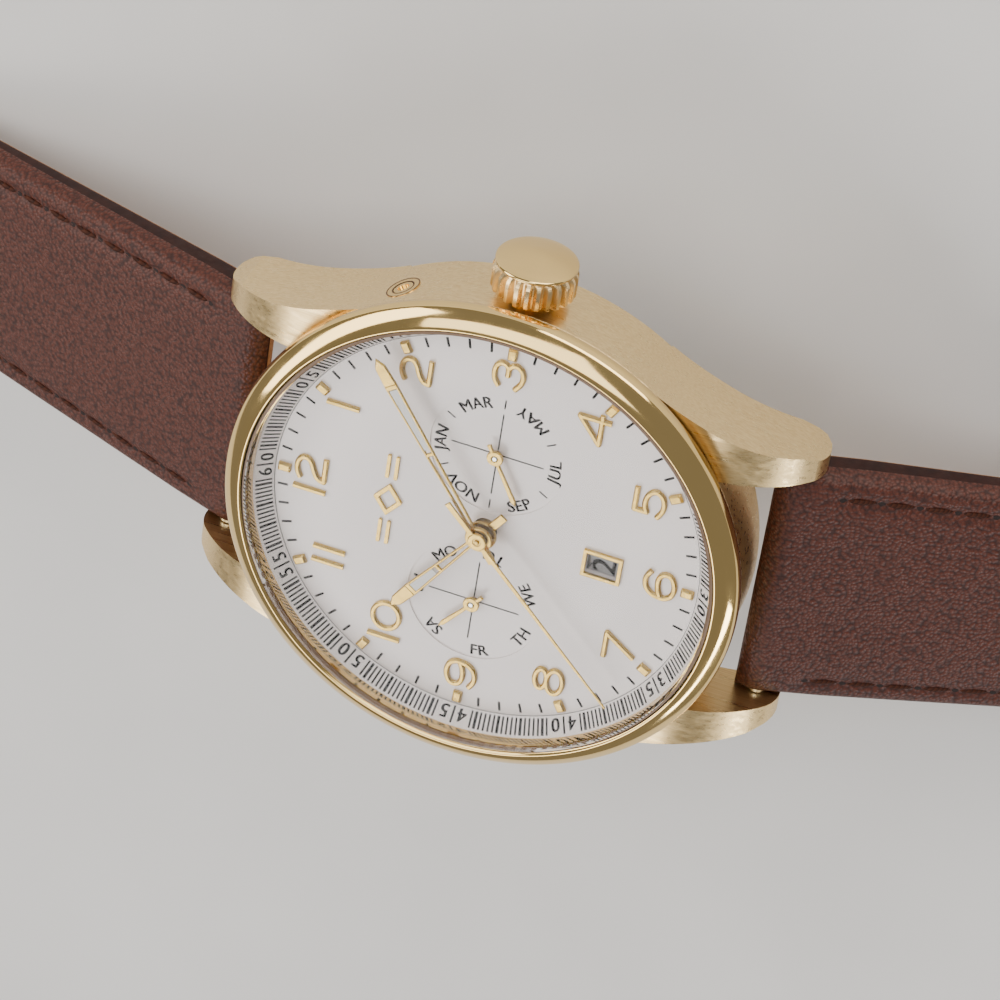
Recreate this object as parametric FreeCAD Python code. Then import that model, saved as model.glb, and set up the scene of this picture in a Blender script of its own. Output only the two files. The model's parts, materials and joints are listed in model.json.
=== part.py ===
"""Automatic calendar wristwatch on a two-piece leather strap.

Frame: millimetres, origin at the centre of the case back's rest face, +Z out of the dial,
+Y towards 12 o'clock, +X towards the crown at 3 o'clock.
"""
import FreeCAD, Part
import math
import os

V = FreeCAD.Vector

# ---- driving dimensions ------------------------------------------------------------
Z_DIAL = 8.6            # dial surface above the rest face
CASE_R = 20.3           # brushed flank
CASE_BORE_R = 18.0      # the dial and movement pass through this
BEZEL_R = 21.0
BEZEL_TOP = 2.8         # bezel ridge above the dial
GLASS_R = 18.9
GLASS_TOP = 3.3
DIAL_R = 17.9
DIAL_T = 0.4
SCALE_R = 17.42         # where the dial meets the sloping scale ring
CASE_BOTTOM = -6.3      # measured from the dial, as the heights that follow
LUG_BOTTOM = -7.2
BACK_BOTTOM = -Z_DIAL
BACK_GLASS_R = 14.18

STRAP_W = 21.7          # strap width between lugs 22 mm apart
LUG_GAP = 22.0
BAR_Y = 22.4            # spring bar's place
BAR_Z = -5.5
BAR_R = 0.75
STRAP_NOSE_R = 1.8      # the strap's rounded end round the spring bar
STRAP_DROOP = math.radians(20)
STRAP_STRAIGHT = 30.0   # straight stretch beside the lugs
STRAP_T_BEND = 2.9      # thickness where the bend starts
STRAP_T_END = 2.4
STRAP_W_END = 18.0
BUCKLE_BEND_R = 43.0    # bend of the short half
HOLES_BEND_R = 60.0     # bend of the long half
BUCKLE_BAR_Y = 92.0
TAIL_Y = 135.0
HOLE_COUNT = 7
HOLE_STEP = 6.5
KEEPER_T = 1.0
KEEPER_ROOM = 2.6       # room for the strap's tail over the half that the keeper rides on
FIXED_KEEPER = (81.0, 85.2)
FREE_KEEPER = (73.0, 77.6)
RUNNING = 0.05          # radial play of a pin in its hole

SUB_X = 7.11            # centres of the month and weekday dials
SUB_R = 5.45
DATE_Y = -9.65
MARKER_R = 16.62
MARKER_W = 0.75
MARKER_L = 1.05
HOUR_ANGLE = 304.4
MINUTE_ANGLE = 52.8
SECOND_ANGLE = 223.9
MONTH_ANGLE = 240.0
WEEKDAY_ANGLE = 308.6

CROWN_Z = -2.7
CROWN_R = 3.3
CROWN_CAP_R = 3.18
CROWN_FLUTES = 24
CROWN_X = 21.05
CORRECTOR_ANGLE = math.radians(29.5)
CORRECTOR_Z = -2.6

MOVEMENT_R = 13.0
PLATE_TOP = -0.85
PLATE_BOTTOM = -3.4
BRIDGE_TOP = -5.4
BRIDGE_BOTTOM = -6.0
BRIDGE_R = 12.7
SCREW_HEAD_R = 0.52
SCREW_HEAD_T = 0.35
SCREW_TOP = -6.1        # the heads sit in counterbores, clear of the rotor
SCREW_CIRCLE_R = 12.0
SCREW_ANGLES = (5, 62, 118, 176)

HOUR_HAND_Z = 0.85      # undersides of the hands, one above the other
MINUTE_HAND_Z = 1.42
SECOND_HAND_Z = 1.84
CALENDAR_HAND_Z = 0.4
HAND_T = 0.2
HAND_WALL = 0.2         # rails either side of a hand's windows
DATE_DISC_Z = -0.75
STAR_Z = -1.15
CENTRE_WHEEL_Z = -3.72  # undersides of the train's wheels
THIRD_WHEEL_Z = -4.35
ESCAPE_WHEEL_Z = -4.62
FOURTH_WHEEL_Z = -5.25
BALANCE_Z = -5.1
DRUM_Z = -5.1
HAIRSPRING_Z = -5.3

THIRD_XY = (-0.78, -4.43)       # train centres; the fourth wheel turns at the dial's centre
ESCAPE_XY = (3.96, -1.06)
PALLET_XY = (4.63, -3.57)
BALANCE_XY = (5.41, -6.47)
BARREL_XY = (-4.28, 4.28)
TRAIN_STEP = math.hypot(*THIRD_XY)      # centre to third wheel
BARREL_STEP = math.hypot(*BARREL_XY)

BARREL_TEETH = 72
CENTRE_LEAVES = 12
CENTRE_TEETH = 80
THIRD_LEAVES = 10
THIRD_TEETH = 75
FOURTH_LEAVES = 10
FOURTH_TEETH = 84
ESCAPE_LEAVES = 7
ESCAPE_TEETH = 15
RATCHET_TEETH = 40
BARREL_MODULE = 2 * BARREL_STEP / (BARREL_TEETH + CENTRE_LEAVES)
CENTRE_MODULE = 2 * TRAIN_STEP / (CENTRE_TEETH + THIRD_LEAVES)
THIRD_MODULE = 2 * TRAIN_STEP / (THIRD_TEETH + FOURTH_LEAVES)
FOURTH_MODULE = 0.09

os.makedirs("parts", exist_ok=True)


# ---- helpers -----------------------------------------------------------------------
def up(z):
    """Height above the rest face of a height measured from the dial."""
    return Z_DIAL + z


def disc(r, z0, z1, at=(0.0, 0.0)):
    return Part.makeCylinder(r, z1 - z0, V(at[0], at[1], up(z0)))


def ring(r_out, r_in, z0, z1, at=(0.0, 0.0)):
    return disc(r_out, z0, z1, at).cut(disc(r_in, z0 - 1, z1 + 1, at))


def box(x0, x1, y0, y1, z0, z1):
    return Part.makeBox(x1 - x0, y1 - y0, z1 - z0, V(x0, y0, up(z0)))


def turned(profile, at=(0.0, 0.0)):
    """Solid of revolution about a vertical axis from (radius, height) corners."""
    points = [V(r, 0, up(z)) for r, z in profile]
    face = Part.Face(Part.makePolygon(points + [points[0]]))
    solid = face.revolve(V(0, 0, 0), V(0, 0, 1), 360)
    solid.translate(V(at[0], at[1], 0))
    return solid


def turned_x(profile, z):
    """Solid of revolution about the line y = 0 at height z from (x, radius) corners."""
    points = [V(x, 0, up(z) + r) for x, r in profile]
    face = Part.Face(Part.makePolygon(points + [points[0]]))
    return face.revolve(V(0, 0, up(z)), V(1, 0, 0), 360)


def plate(points, z0, z1):
    corners = [V(x, y, up(z0)) for x, y in points]
    face = Part.Face(Part.makePolygon(corners + [corners[0]]))
    return face.extrude(V(0, 0, z1 - z0))


def spun(shape, degrees, at=(0.0, 0.0)):
    """The shape turned clockwise, as seen from the dial side."""
    copy = shape.copy()
    copy.rotate(V(at[0], at[1], 0), V(0, 0, 1), -degrees)
    return copy


def moved(shape, x, y, z=0.0):
    copy = shape.copy()
    copy.translate(V(x, y, z))
    return copy


def fused(shapes):
    shapes = list(shapes)
    return shapes[0].multiFuse(shapes[1:]).removeSplitter() if len(shapes) > 1 else shapes[0]


def save(name, *shapes):
    """Writes one node: one solid, or several separate ones."""
    solids = [solid for shape in shapes for solid in shape.Solids]
    whole = solids[0] if len(solids) == 1 else Part.makeCompound(solids)
    whole.exportStep(f"parts/{name}.step")
    print(f"{name}: {len(solids)} solid(s), {sum(s.Volume for s in solids):.2f} mm3")


def gear(teeth, module, z0, z1, at=(0.0, 0.0), bore=0.0, phase=0.0):
    """A thin clock wheel with tapered teeth; phase is in parts of a tooth."""
    pitch_r = teeth * module / 2
    tip_r = pitch_r + 0.9 * module
    root_r = pitch_r - 1.25 * module
    points = []
    for i in range(teeth):
        for share, r in ((-0.26, root_r), (-0.13, tip_r), (0.13, tip_r), (0.26, root_r)):
            a = 2 * math.pi * (i + phase + share) / teeth
            points.append((at[0] + r * math.cos(a), at[1] + r * math.sin(a)))
    wheel = plate(points, z0, z1)
    return wheel.cut(disc(bore, z0 - 1, z1 + 1, at)) if bore else wheel


def crossings(r_out, r_in, arms, arm_w, z0, z1, at=(0.0, 0.0)):
    """The windows that leave a wheel with straight arms."""
    window = ring(r_out, r_in, z0 - 1, z1 + 1)
    for i in range(arms):
        arm = box(-arm_w / 2, arm_w / 2, 0, r_out + 1, z0 - 2, z1 + 2)
        window = window.cut(spun(arm, 360 * i / arms))
    return moved(window, at[0], at[1])


def meshing_phase(own_teeth, own_at, other_teeth, other_at, other_phase):
    """Phase that puts a tooth space of one wheel on a tooth of the other, on their centre line."""
    angle = math.atan2(own_at[1] - other_at[1], own_at[0] - other_at[0])
    other = (angle / (2 * math.pi) * other_teeth - other_phase) % 1
    own_angle = angle + math.pi
    return own_angle / (2 * math.pi) * own_teeth + 0.5 + other


def screw(r, z0, z1, at):
    """A slotted cheese-head screw seen from the back, its head at z0."""
    head = disc(r, z0, z0 + SCREW_HEAD_T, at)
    slot = moved(box(-r, r, -0.07, 0.07, z0 - 0.1, z0 + 0.15), at[0], at[1])
    return head.cut(slot).fuse(disc(r * 0.55, z0 + SCREW_HEAD_T, z1, at))


def around(r, degrees):
    """The point at radius r, its angle measured from +X towards +Y."""
    a = math.radians(degrees)
    return (r * math.cos(a), r * math.sin(a))


def half_disc(start, end):
    """A thick sector, angles measured from +X towards +Y, for cutting bridges and the rotor."""
    sector = Part.makeCylinder(14, 8, V(0, 0, up(-8)), V(0, 0, 1), end - start)
    sector.rotate(V(0, 0, 0), V(0, 0, 1), start)
    return sector


def spiral(at, r0, step, half_turns, width, z0, z1):
    """A flat spiral spring of half-turn arcs, growing by step a turn."""
    turns = []
    for i in range(half_turns):
        r = r0 + step * i / 2
        first = i % 2 == 0
        centre = at[0] + (0 if first else -step / 2)
        arc = Part.makeCylinder(r + width / 2, z1 - z0, V(0, 0, up(z0)), V(0, 0, 1), 180)
        arc = arc.cut(Part.makeCylinder(r - width / 2, z1 - z0, V(0, 0, up(z0))))
        arc.rotate(V(0, 0, 0), V(0, 0, 1), 0 if first else 180)
        turns.append(moved(arc, centre, at[1]))
    return fused(turns)


# ---- numerals drawn as strokes -------------------------------------------------------
DIGIT_STROKE = 0.45
DIGIT_HEIGHT = 0.3

# Middle lines of each digit's strokes, from the digit's own origin.
DIGIT_LINES = {
    "1": [[(0, -1.12), (0, 1.12)]],
    "2": [[(-0.98, 0.92), (-0.6, 1.12), (-0.1, 1.22), (0.4, 1.18), (0.8, 0.95), (0.92, 0.62),
           (0.8, 0.3), (0.45, 0.05), (0, -0.12), (-0.5, -0.35), (-0.82, -0.65), (-0.93, -1.06)],
          [(-0.93, -1.06), (1.06, -1.06)]],
    "3": [[(-1.15, 0.8), (-0.7, 1.1), (-0.05, 1.2), (0.55, 1.1), (0.9, 0.75), (0.82, 0.35),
           (0.5, 0.14), (-0.12, 0.13)],
          [(0.5, 0.14), (0.85, -0.15), (0.92, -0.55), (0.6, -0.95), (0.05, -1.1), (-0.5, -1.0),
           (-0.85, -0.8), (-1.15, -0.6)]],
    "4": [[(0.86, -1.08), (0.86, 1.28)], [(0.86, 1.28), (-1.28, -0.5)],
          [(-1.28, -0.5), (1.28, -0.5)]],
    "5": [[(1.03, 1.1), (-0.88, 1.1)], [(-0.88, 1.1), (-0.88, 0.1)],
          [(-0.88, 0.1), (-0.45, 0.28), (0.1, 0.33), (0.7, 0.17), (1.1, -0.2), (1.12, -0.6),
           (0.75, -1.02), (0.1, -1.17), (-0.5, -1.08), (-1.08, -0.8)]],
    "6": [[(1.08, 0.88), (0.6, 1.13), (0.05, 1.2), (-0.5, 1.05), (-0.95, 0.6), (-1.1, 0),
           (-1.08, -0.5), (-0.75, -0.95), (-0.2, -1.14), (0.4, -1.1), (0.95, -0.85),
           (1.15, -0.45), (1.0, -0.05), (0.6, 0.17)],
          [(0.6, 0.17), (0.1, 0.2), (-0.5, 0.1), (-0.98, -0.12)]],
    "7": [[(-1.1, 1.1), (1.05, 1.1)], [(1.05, 1.1), (-0.55, -1.15)]],
}
# Oval strokes: height of the middle, and half width and half height of the middle line.
DIGIT_OVALS = {
    "0": [(0, 1.22, 1.1)],
    "8": [(0.65, 0.93, 0.48), (-0.48, 1.12, 0.65)],
}
DIGIT_PLACES = [
    ("1", 7.33, 12.61), ("2", 12.55, 7.2), ("3", 14.75, 0), ("4", 12.3, -7.2),
    ("5", 7.2, -12.4), ("6", 0, -14.4), ("7", -7.0, -12.1), ("8", -12.28, -7.07),
    ("9", -14.3, 0.06), ("1", -13.14, 6.74), ("0", -11.07, 6.76), ("1", -7.77, 12.12),
    ("1", -6.49, 12.12), ("1", -1.38, 14.41), ("2", 0.59, 14.39),
]


def stroke(points):
    """The parts of a raised line with rounded ends and corners: a disc a point, a bar between."""
    half = DIGIT_STROKE / 2
    shapes = [disc(half, 0, DIGIT_HEIGHT, point) for point in points]
    for p, q in zip(points, points[1:]):
        along = V(q[0] - p[0], q[1] - p[1], 0)
        bar = Part.makeBox(along.Length, DIGIT_STROKE, DIGIT_HEIGHT, V(0, -half, up(0)))
        bar.rotate(V(0, 0, 0), V(0, 0, 1), math.degrees(math.atan2(along.y, along.x)))
        shapes.append(moved(bar, *p))
    return shapes


def oval(y, half_width, half_height, grown):
    curve = Part.Ellipse(V(0, y, up(0)), half_width + grown, half_height + grown)
    return Part.Face(Part.Wire(curve.toShape())).extrude(V(0, 0, DIGIT_HEIGHT))


def digit(character):
    if character == "9":
        return spun(digit("6"), 180)
    half = DIGIT_STROKE / 2
    shapes = [oval(*size, half).cut(oval(*size, -half)) for size in DIGIT_OVALS.get(character, [])]
    for points in DIGIT_LINES.get(character, []):
        shapes += stroke(points)
    return fused(shapes)


# ---- case ----------------------------------------------------------------------------
def lug():
    """The lug in the +X +Y quarter: a swept side profile cut to a hooked plan, its tip faceted."""
    inner = LUG_GAP / 2
    side = [
        Part.LineSegment(V(inner, 9.5, up(CASE_BOTTOM)), V(inner, 9.5, up(0.1))),
        Part.LineSegment(V(inner, 9.5, up(0.1)), V(inner, 15.5, up(0.1))),
        Part.Arc(V(inner, 15.5, up(0.1)), V(inner, 20.6, up(-1.0)), V(inner, 23.8, up(-3.7))),
        Part.Arc(V(inner, 23.8, up(-3.7)), V(inner, 24.3, up(-5.3)), V(inner, 24.1, up(-6.6))),
        Part.LineSegment(V(inner, 24.1, up(-6.6)), V(inner, 23.5, up(LUG_BOTTOM))),
        Part.LineSegment(V(inner, 23.5, up(LUG_BOTTOM)), V(inner, 21.5, up(LUG_BOTTOM))),
        Part.Arc(V(inner, 21.5, up(LUG_BOTTOM)), V(inner, 19.2, up(-6.6)),
                 V(inner, 16.5, up(CASE_BOTTOM))),
        Part.LineSegment(V(inner, 16.5, up(CASE_BOTTOM)), V(inner, 9.5, up(CASE_BOTTOM))),
    ]
    side_face = Part.Face(Part.Wire([e.toShape() for e in side]))
    swept = side_face.extrude(V(8, 0, 0))

    flank = Part.BSplineCurve()
    flank.interpolate([V(13.4, 22.8, 0), V(14.0, 20.2, 0), V(14.85, 17.0, 0), V(15.85, 13.9, 0),
                       V(17.3, 10.62, 0)])
    corners = [V(17.3, 10.62, 0), V(10.0, 10.62, 0), V(10.0, 17.0, 0), V(inner, 17.0, 0),
               V(inner, 25.0, 0), V(12.3, 25.0, 0), V(13.4, 22.8, 0)]
    edges = [flank.toShape()]
    edges += [Part.LineSegment(a, b).toShape() for a, b in zip(corners, corners[1:])]
    plan = Part.Face(Part.Wire(edges)).extrude(V(0, 0, 20))
    hook = swept.common(plan)
    hole = Part.makeCylinder(0.45, 1.3, V(inner - 0.1, BAR_Y, up(BAR_Z)), V(1, 0, 0))
    core = disc(CASE_R - 0.6, -8, 2)
    return hook.cut(hole).cut(core)


def mirrored(shape, normal):
    return shape.mirror(V(0, 0, 0), normal)


def corrector_axis(r):
    return V(r * math.cos(CORRECTOR_ANGLE), r * math.sin(CORRECTOR_ANGLE), up(CORRECTOR_Z))


def corrector_rod(r, start, end):
    out = V(math.cos(CORRECTOR_ANGLE), math.sin(CORRECTOR_ANGLE), 0)
    return Part.makeCylinder(r, end - start, corrector_axis(start), out)


def make_case():
    body = turned([(CASE_BORE_R, CASE_BOTTOM), (CASE_R - 0.2, CASE_BOTTOM),
                   (CASE_R, CASE_BOTTOM + 0.2), (CASE_R, -0.1), (20.1, 0.1), (19.6, 0.1),
                   (19.6, 0.3), (18.95, 0.3), (18.95, 0.0), (CASE_BORE_R, 0.0)])
    one = lug()
    pair = [one, mirrored(one, V(1, 0, 0))]
    body = body.multiFuse(pair + [mirrored(s, V(0, 1, 0)) for s in pair])
    tube_hole = Part.makeCylinder(1.5, 6, V(16, 0, up(CROWN_Z)), V(1, 0, 0))
    body = body.cut(tube_hole).cut(corrector_rod(1.4, 16, 22))
    save("mid_case", body.removeSplitter())

    tube = turned_x([(CASE_BORE_R + 0.05, 0.6), (22.1, 0.6), (22.1, 1.45), (20.4, 1.5),
                     (CASE_BORE_R + 0.05, 1.5)], CROWN_Z)
    save("crown_tube", tube)
    sleeve = corrector_rod(1.4, 18.1, 20.32).cut(corrector_rod(0.85, 17, 21))
    save("corrector_sleeve", sleeve)


def make_bezel():
    """Polished convex ring; its section is an outer curve and a stepped inside."""
    def at(r, z):
        return V(r, 0, up(z))
    inside = [at(19.4, BEZEL_TOP), at(19.15, 2.6), at(19.15, 2.2), at(18.78, 2.2),
              at(18.78, 1.22), at(18.95, 1.22), at(18.95, 0.32), at(20.5, 0.32),
              at(20.55, 0.52), at(20.78, 0.64)]
    edges = [Part.LineSegment(a, b).toShape() for a, b in zip(inside, inside[1:])]
    edges.append(Part.Arc(at(20.78, 0.64), at(BEZEL_R, 1.3), at(20.75, 1.95)).toShape())
    edges.append(Part.Arc(at(20.75, 1.95), at(20.2, 2.5), at(19.4, BEZEL_TOP)).toShape())
    bezel = Part.Face(Part.Wire(edges)).revolve(V(0, 0, 0), V(0, 0, 1), 360)
    save("bezel", bezel)


def make_glass_and_rings():
    save("crystal", turned([(0, 2.2), (GLASS_R, 2.2), (GLASS_R, 2.95), (18.55, GLASS_TOP),
                            (0, GLASS_TOP)]))
    save("crystal_gasket", ring(19.15, GLASS_R, 2.2, 2.6))
    save("scale_ring", turned([(SCALE_R, 0.0), (18.9, 0.0), (18.9, 1.2), (18.75, 1.2),
                               (SCALE_R, 0.05)]))


def make_back():
    shell = turned([(CASE_BORE_R - 0.05, -4.65), (16.9, -4.65), (16.9, -7.2), (13.3, -7.2),
                    (13.3, -7.6), (14.2, -7.6), (14.2, BACK_BOTTOM), (17.8, BACK_BOTTOM),
                    (18.5, -8.2), (19.2, -7.1), (19.2, -6.32), (CASE_BORE_R - 0.05, -6.32)])
    for i in range(6):
        notch = box(-1.1, 1.1, 17.3, 20.0, BACK_BOTTOM - 0.1, -7.7)
        shell = shell.cut(spun(notch, 60 * i))
    groove = ring(18.75, 18.15, -6.7, -6.0)
    save("case_back_ring", shell.cut(groove))
    save("case_back_gasket", ring(18.7, 18.2, -6.68, -6.3))
    save("case_back_glass", disc(BACK_GLASS_R, BACK_BOTTOM, -7.6))


# ---- dial ----------------------------------------------------------------------------
def make_dial():
    dial = disc(DIAL_R, -DIAL_T, 0)
    for side in (-1, 1):
        at = (side * SUB_X, 0)
        dial = dial.cut(disc(SUB_R, -0.12, 1, at)).cut(disc(0.35, -1, 1, at))
    dial = dial.cut(disc(1.0, -1, 1)).cut(box(-0.95, 0.95, DATE_Y - 1.3, DATE_Y + 1.3, -1, 1))
    save("dial", dial)

    save("hour_numerals", *[moved(digit(c), x, y) for c, x, y in DIGIT_PLACES])

    marker = Part.makeBox(MARKER_W, MARKER_L, 0.35,
                          V(-MARKER_W / 2, MARKER_R - MARKER_L / 2, up(0)))
    marker = marker.makeChamfer(0.12, [e for e in marker.Edges if e.CenterOfMass.z > up(0.3)])
    save("hour_markers", *[spun(marker, 30 * i) for i in range(12)])

    frame = box(-1.25, 1.25, DATE_Y - 1.6, DATE_Y + 1.6, 0, 0.28)
    save("date_frame", frame.cut(box(-0.95, 0.95, DATE_Y - 1.3, DATE_Y + 1.3, -1, 1)))
    save("emblem", *emblem())


def emblem():
    """A plain applied ornament below 12: an open lozenge between two pairs of bars."""
    y = 8.0
    rim = plate([(0, y + 1.2), (1.5, y), (0, y - 1.2), (-1.5, y)], 0, 0.22)
    hole = plate([(0, y + 0.75), (0.95, y), (0, y - 0.75), (-0.95, y)], -1, 1)
    shapes = [rim.cut(hole)]
    for side in (-1, 1):
        shapes += [box(side * 3.1 - 1.1, side * 3.1 + 1.1, y + s - 0.14, y + s + 0.14, 0, 0.22)
                   for s in (-0.35, 0.35)]
    return shapes


# ---- hands ---------------------------------------------------------------------------
def framed_hand(length, width, shoulder, crossbar, tail, hub_r, bore, z0, z1):
    """A tapered hand along +Y: ring hub, open inner window, outer window, pointed tip."""
    neck = width * 0.5
    point = 0.78 * width
    outline = [(-neck / 2, 0), (-width / 2, length - shoulder), (-point / 2, length - 0.7),
               (0, length), (point / 2, length - 0.7), (width / 2, length - shoulder), (neck / 2, 0)]
    hand = plate(outline, z0, z1).fuse(box(-neck / 2, neck / 2, -tail, 0.5, z0, z1))
    hand = hand.fuse(disc(hub_r, z0, z1))
    half = (width * 0.5 - HAND_WALL) * 0.75
    window = plate([(-0.09, hub_r + 0.35), (-half, crossbar), (half, crossbar),
                    (0.09, hub_r + 0.35)], z0 - 1, z1 + 1)
    outer = lume_outline(length, width, shoulder, crossbar)
    hand = hand.cut(window).cut(plate(outer, z0 - 1, z1 + 1))
    return hand.cut(disc(bore, z0 - 1, z1 + 1))


def lume_outline(length, width, shoulder, crossbar):
    """The outer window of a framed hand, which the luminous paint fills."""
    half = width * 0.5 - HAND_WALL
    end = length - shoulder - 0.3
    return [(-half * 0.8, crossbar + 0.5), (-half, end), (half, end), (half * 0.8, crossbar + 0.5)]


def make_hands():
    hour = dict(length=11.2, width=1.15, shoulder=2.4, crossbar=5.2)
    minute = dict(length=16.9, width=1.1, shoulder=2.6, crossbar=8.0)
    hour_plate = framed_hand(**hour, tail=2.8, hub_r=1.25, bore=0.55,
                             z0=HOUR_HAND_Z, z1=HOUR_HAND_Z + HAND_T)
    pipe = ring(0.85, 0.55, DATE_DISC_Z, HOUR_HAND_Z)
    wheel = ring(3.0, 0.55, DATE_DISC_Z, -0.5)
    wheel = wheel.cut(crossings(2.5, 1.2, 4, 0.5, DATE_DISC_Z, -0.5))
    save("hour_hand", spun(fused([hour_plate, pipe, wheel]), HOUR_ANGLE))
    hour_lume = plate(lume_outline(**hour), HOUR_HAND_Z + 0.02, HOUR_HAND_Z + 0.15)
    save("hour_lume", spun(hour_lume, HOUR_ANGLE))

    minute_plate = framed_hand(**minute, tail=2.3, hub_r=1.1, bore=0.22,
                               z0=MINUTE_HAND_Z, z1=MINUTE_HAND_Z + HAND_T)
    cannon = ring(0.5, 0.22, -0.8, MINUTE_HAND_Z)
    save("minute_hand", spun(fused([minute_plate, cannon]), MINUTE_ANGLE))
    minute_lume = plate(lume_outline(**minute), MINUTE_HAND_Z + 0.02, MINUTE_HAND_Z + 0.15)
    save("minute_lume", spun(minute_lume, MINUTE_ANGLE))

    top = SECOND_HAND_Z + 0.12
    needle = plate([(-0.2, 0), (-0.09, 17.0), (0.09, 17.0), (0.2, 0)], SECOND_HAND_Z, top)
    tail = box(-0.28, 0.28, -3.9, 0, SECOND_HAND_Z, top)
    hub = disc(0.75, SECOND_HAND_Z - 0.04, top + 0.06).fuse(disc(0.32, top + 0.06, top + 0.14))
    save("seconds_hand", spun(fused([needle, tail, hub]), SECOND_ANGLE))

    arbor = disc(0.16, -5.35, SECOND_HAND_Z - 0.04)
    wheel_top = FOURTH_WHEEL_Z + 0.13
    fourth = gear(FOURTH_TEETH, FOURTH_MODULE, FOURTH_WHEEL_Z, wheel_top)
    fourth = fourth.cut(crossings(3.1, 0.8, 5, 0.35, FOURTH_WHEEL_Z, wheel_top))
    pinion = gear(FOURTH_LEAVES, THIRD_MODULE, -4.45, -4.12)
    save("fourth_wheel", fused([arbor, fourth, pinion]))


def calendar_hand(length, z0, z1):
    """A short needle with a round hub and a stub tail, along +Y."""
    needle = plate([(-0.3, 0), (-0.1, length - 0.5), (0, length), (0.1, length - 0.5), (0.3, 0)],
                   z0, z1)
    return fused([needle, disc(0.72, z0, z1 + 0.12), box(-0.14, 0.14, -1.3, 0, z0, z1)])


def make_calendar():
    """Month and weekday stars with their hands, and the date disc in its window."""
    for name, side, teeth, length, angle in (("month", 1, 12, 4.4, MONTH_ANGLE),
                                             ("weekday", -1, 7, 3.8, WEEKDAY_ANGLE)):
        at = (side * SUB_X, 0)
        hand = calendar_hand(length, CALENDAR_HAND_Z, CALENDAR_HAND_Z + 0.12)
        save(f"{name}_hand", moved(spun(hand, angle), *at))
        star = star_wheel(teeth, 3.5, 2.6, STAR_Z, STAR_Z + 0.2, at)
        post = disc(0.28, STAR_Z, CALENDAR_HAND_Z, at)
        hub = disc(0.9, STAR_Z, STAR_Z + 0.35, at)
        save(f"{name}_star", fused([star, post, hub]))
    inside = star_wheel(31, 8.75, 8.4, -2, 1, (0, 0))
    save("date_disc", disc(11.5, DATE_DISC_Z, DATE_DISC_Z + 0.25).cut(inside))


def star_wheel(teeth, tip_r, root_r, z0, z1, at):
    points = []
    for i in range(teeth):
        for share, r in ((0, tip_r), (0.5, root_r)):
            a = 2 * math.pi * (i + share) / teeth
            points.append((at[0] + r * math.cos(a), at[1] + r * math.sin(a)))
    return plate(points, z0, z1)


# ---- movement --------------------------------------------------------------------------
def make_plates():
    main = disc(MOVEMENT_R, PLATE_BOTTOM, PLATE_TOP)
    for side in (-1, 1):
        main = main.cut(disc(3.9, -1.3, 0, (side * SUB_X, 0)))
    main = main.cut(disc(0.7, -5, 0))
    main = main.cut(box(7.2, 11.6, -1.3, 1.3, -5, -1.6))
    stem_hole = Part.makeCylinder(0.6, 8, V(7, 0, up(CROWN_Z)), V(1, 0, 0))
    main = main.cut(stem_hole)
    for degrees in SCREW_ANGLES:
        main = main.cut(disc(SCREW_HEAD_R * 0.55, -5, -2.6, around(SCREW_CIRCLE_R, degrees)))
    save("main_plate", main)

    holder = ring(CASE_BORE_R - 0.1, MOVEMENT_R + 0.05, -4.6, -DIAL_T)
    holder = holder.cut(Part.makeCylinder(1.0, 8, V(12, 0, up(CROWN_Z)), V(1, 0, 0)))
    holder = holder.cut(corrector_rod(1.1, 12, 20))
    save("movement_holder", holder)

    wall = ring(BRIDGE_R, 11.5, BRIDGE_TOP, PLATE_BOTTOM)
    cover = disc(BRIDGE_R, BRIDGE_BOTTOM, BRIDGE_TOP)
    bridge = fused([cover, wall]).common(half_disc(-10, 190))
    bridge = bridge.cut(disc(2.2, -7, -5)).cut(disc(2.3, -7, -5, BARREL_XY))
    for degrees in SCREW_ANGLES:
        at = around(SCREW_CIRCLE_R, degrees)
        bridge = bridge.cut(disc(SCREW_HEAD_R + RUNNING, -7, SCREW_TOP + SCREW_HEAD_T, at))
        bridge = bridge.cut(disc(SCREW_HEAD_R * 0.55, -7, -3, at))
    save("barrel_bridge", bridge)

    arm = box(-1.1, 1.1, -BRIDGE_R, -2.6, BRIDGE_BOTTOM, BRIDGE_TOP)
    foot = box(-1.1, 1.1, -12.6, -11.6, BRIDGE_TOP, PLATE_BOTTOM)
    save("train_bridge", spun(fused([arm, foot]).common(disc(BRIDGE_R, -7, 0)), 10))

    away = math.degrees(math.atan2(BALANCE_XY[0], BALANCE_XY[1]))
    cock = box(-1.2, 1.2, 7.2, 12.7, BRIDGE_BOTTOM, BRIDGE_TOP)
    reach = math.hypot(*BALANCE_XY)
    cock = cock.fuse(disc(1.9, BRIDGE_BOTTOM, BRIDGE_TOP, (0, reach)))
    cock_foot = box(-2.6, 2.6, 12.15, 12.9, BRIDGE_BOTTOM, PLATE_BOTTOM)
    cock = fused([cock, cock_foot]).common(disc(BRIDGE_R, -7, 0))
    save("balance_cock", spun(cock, away))


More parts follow.
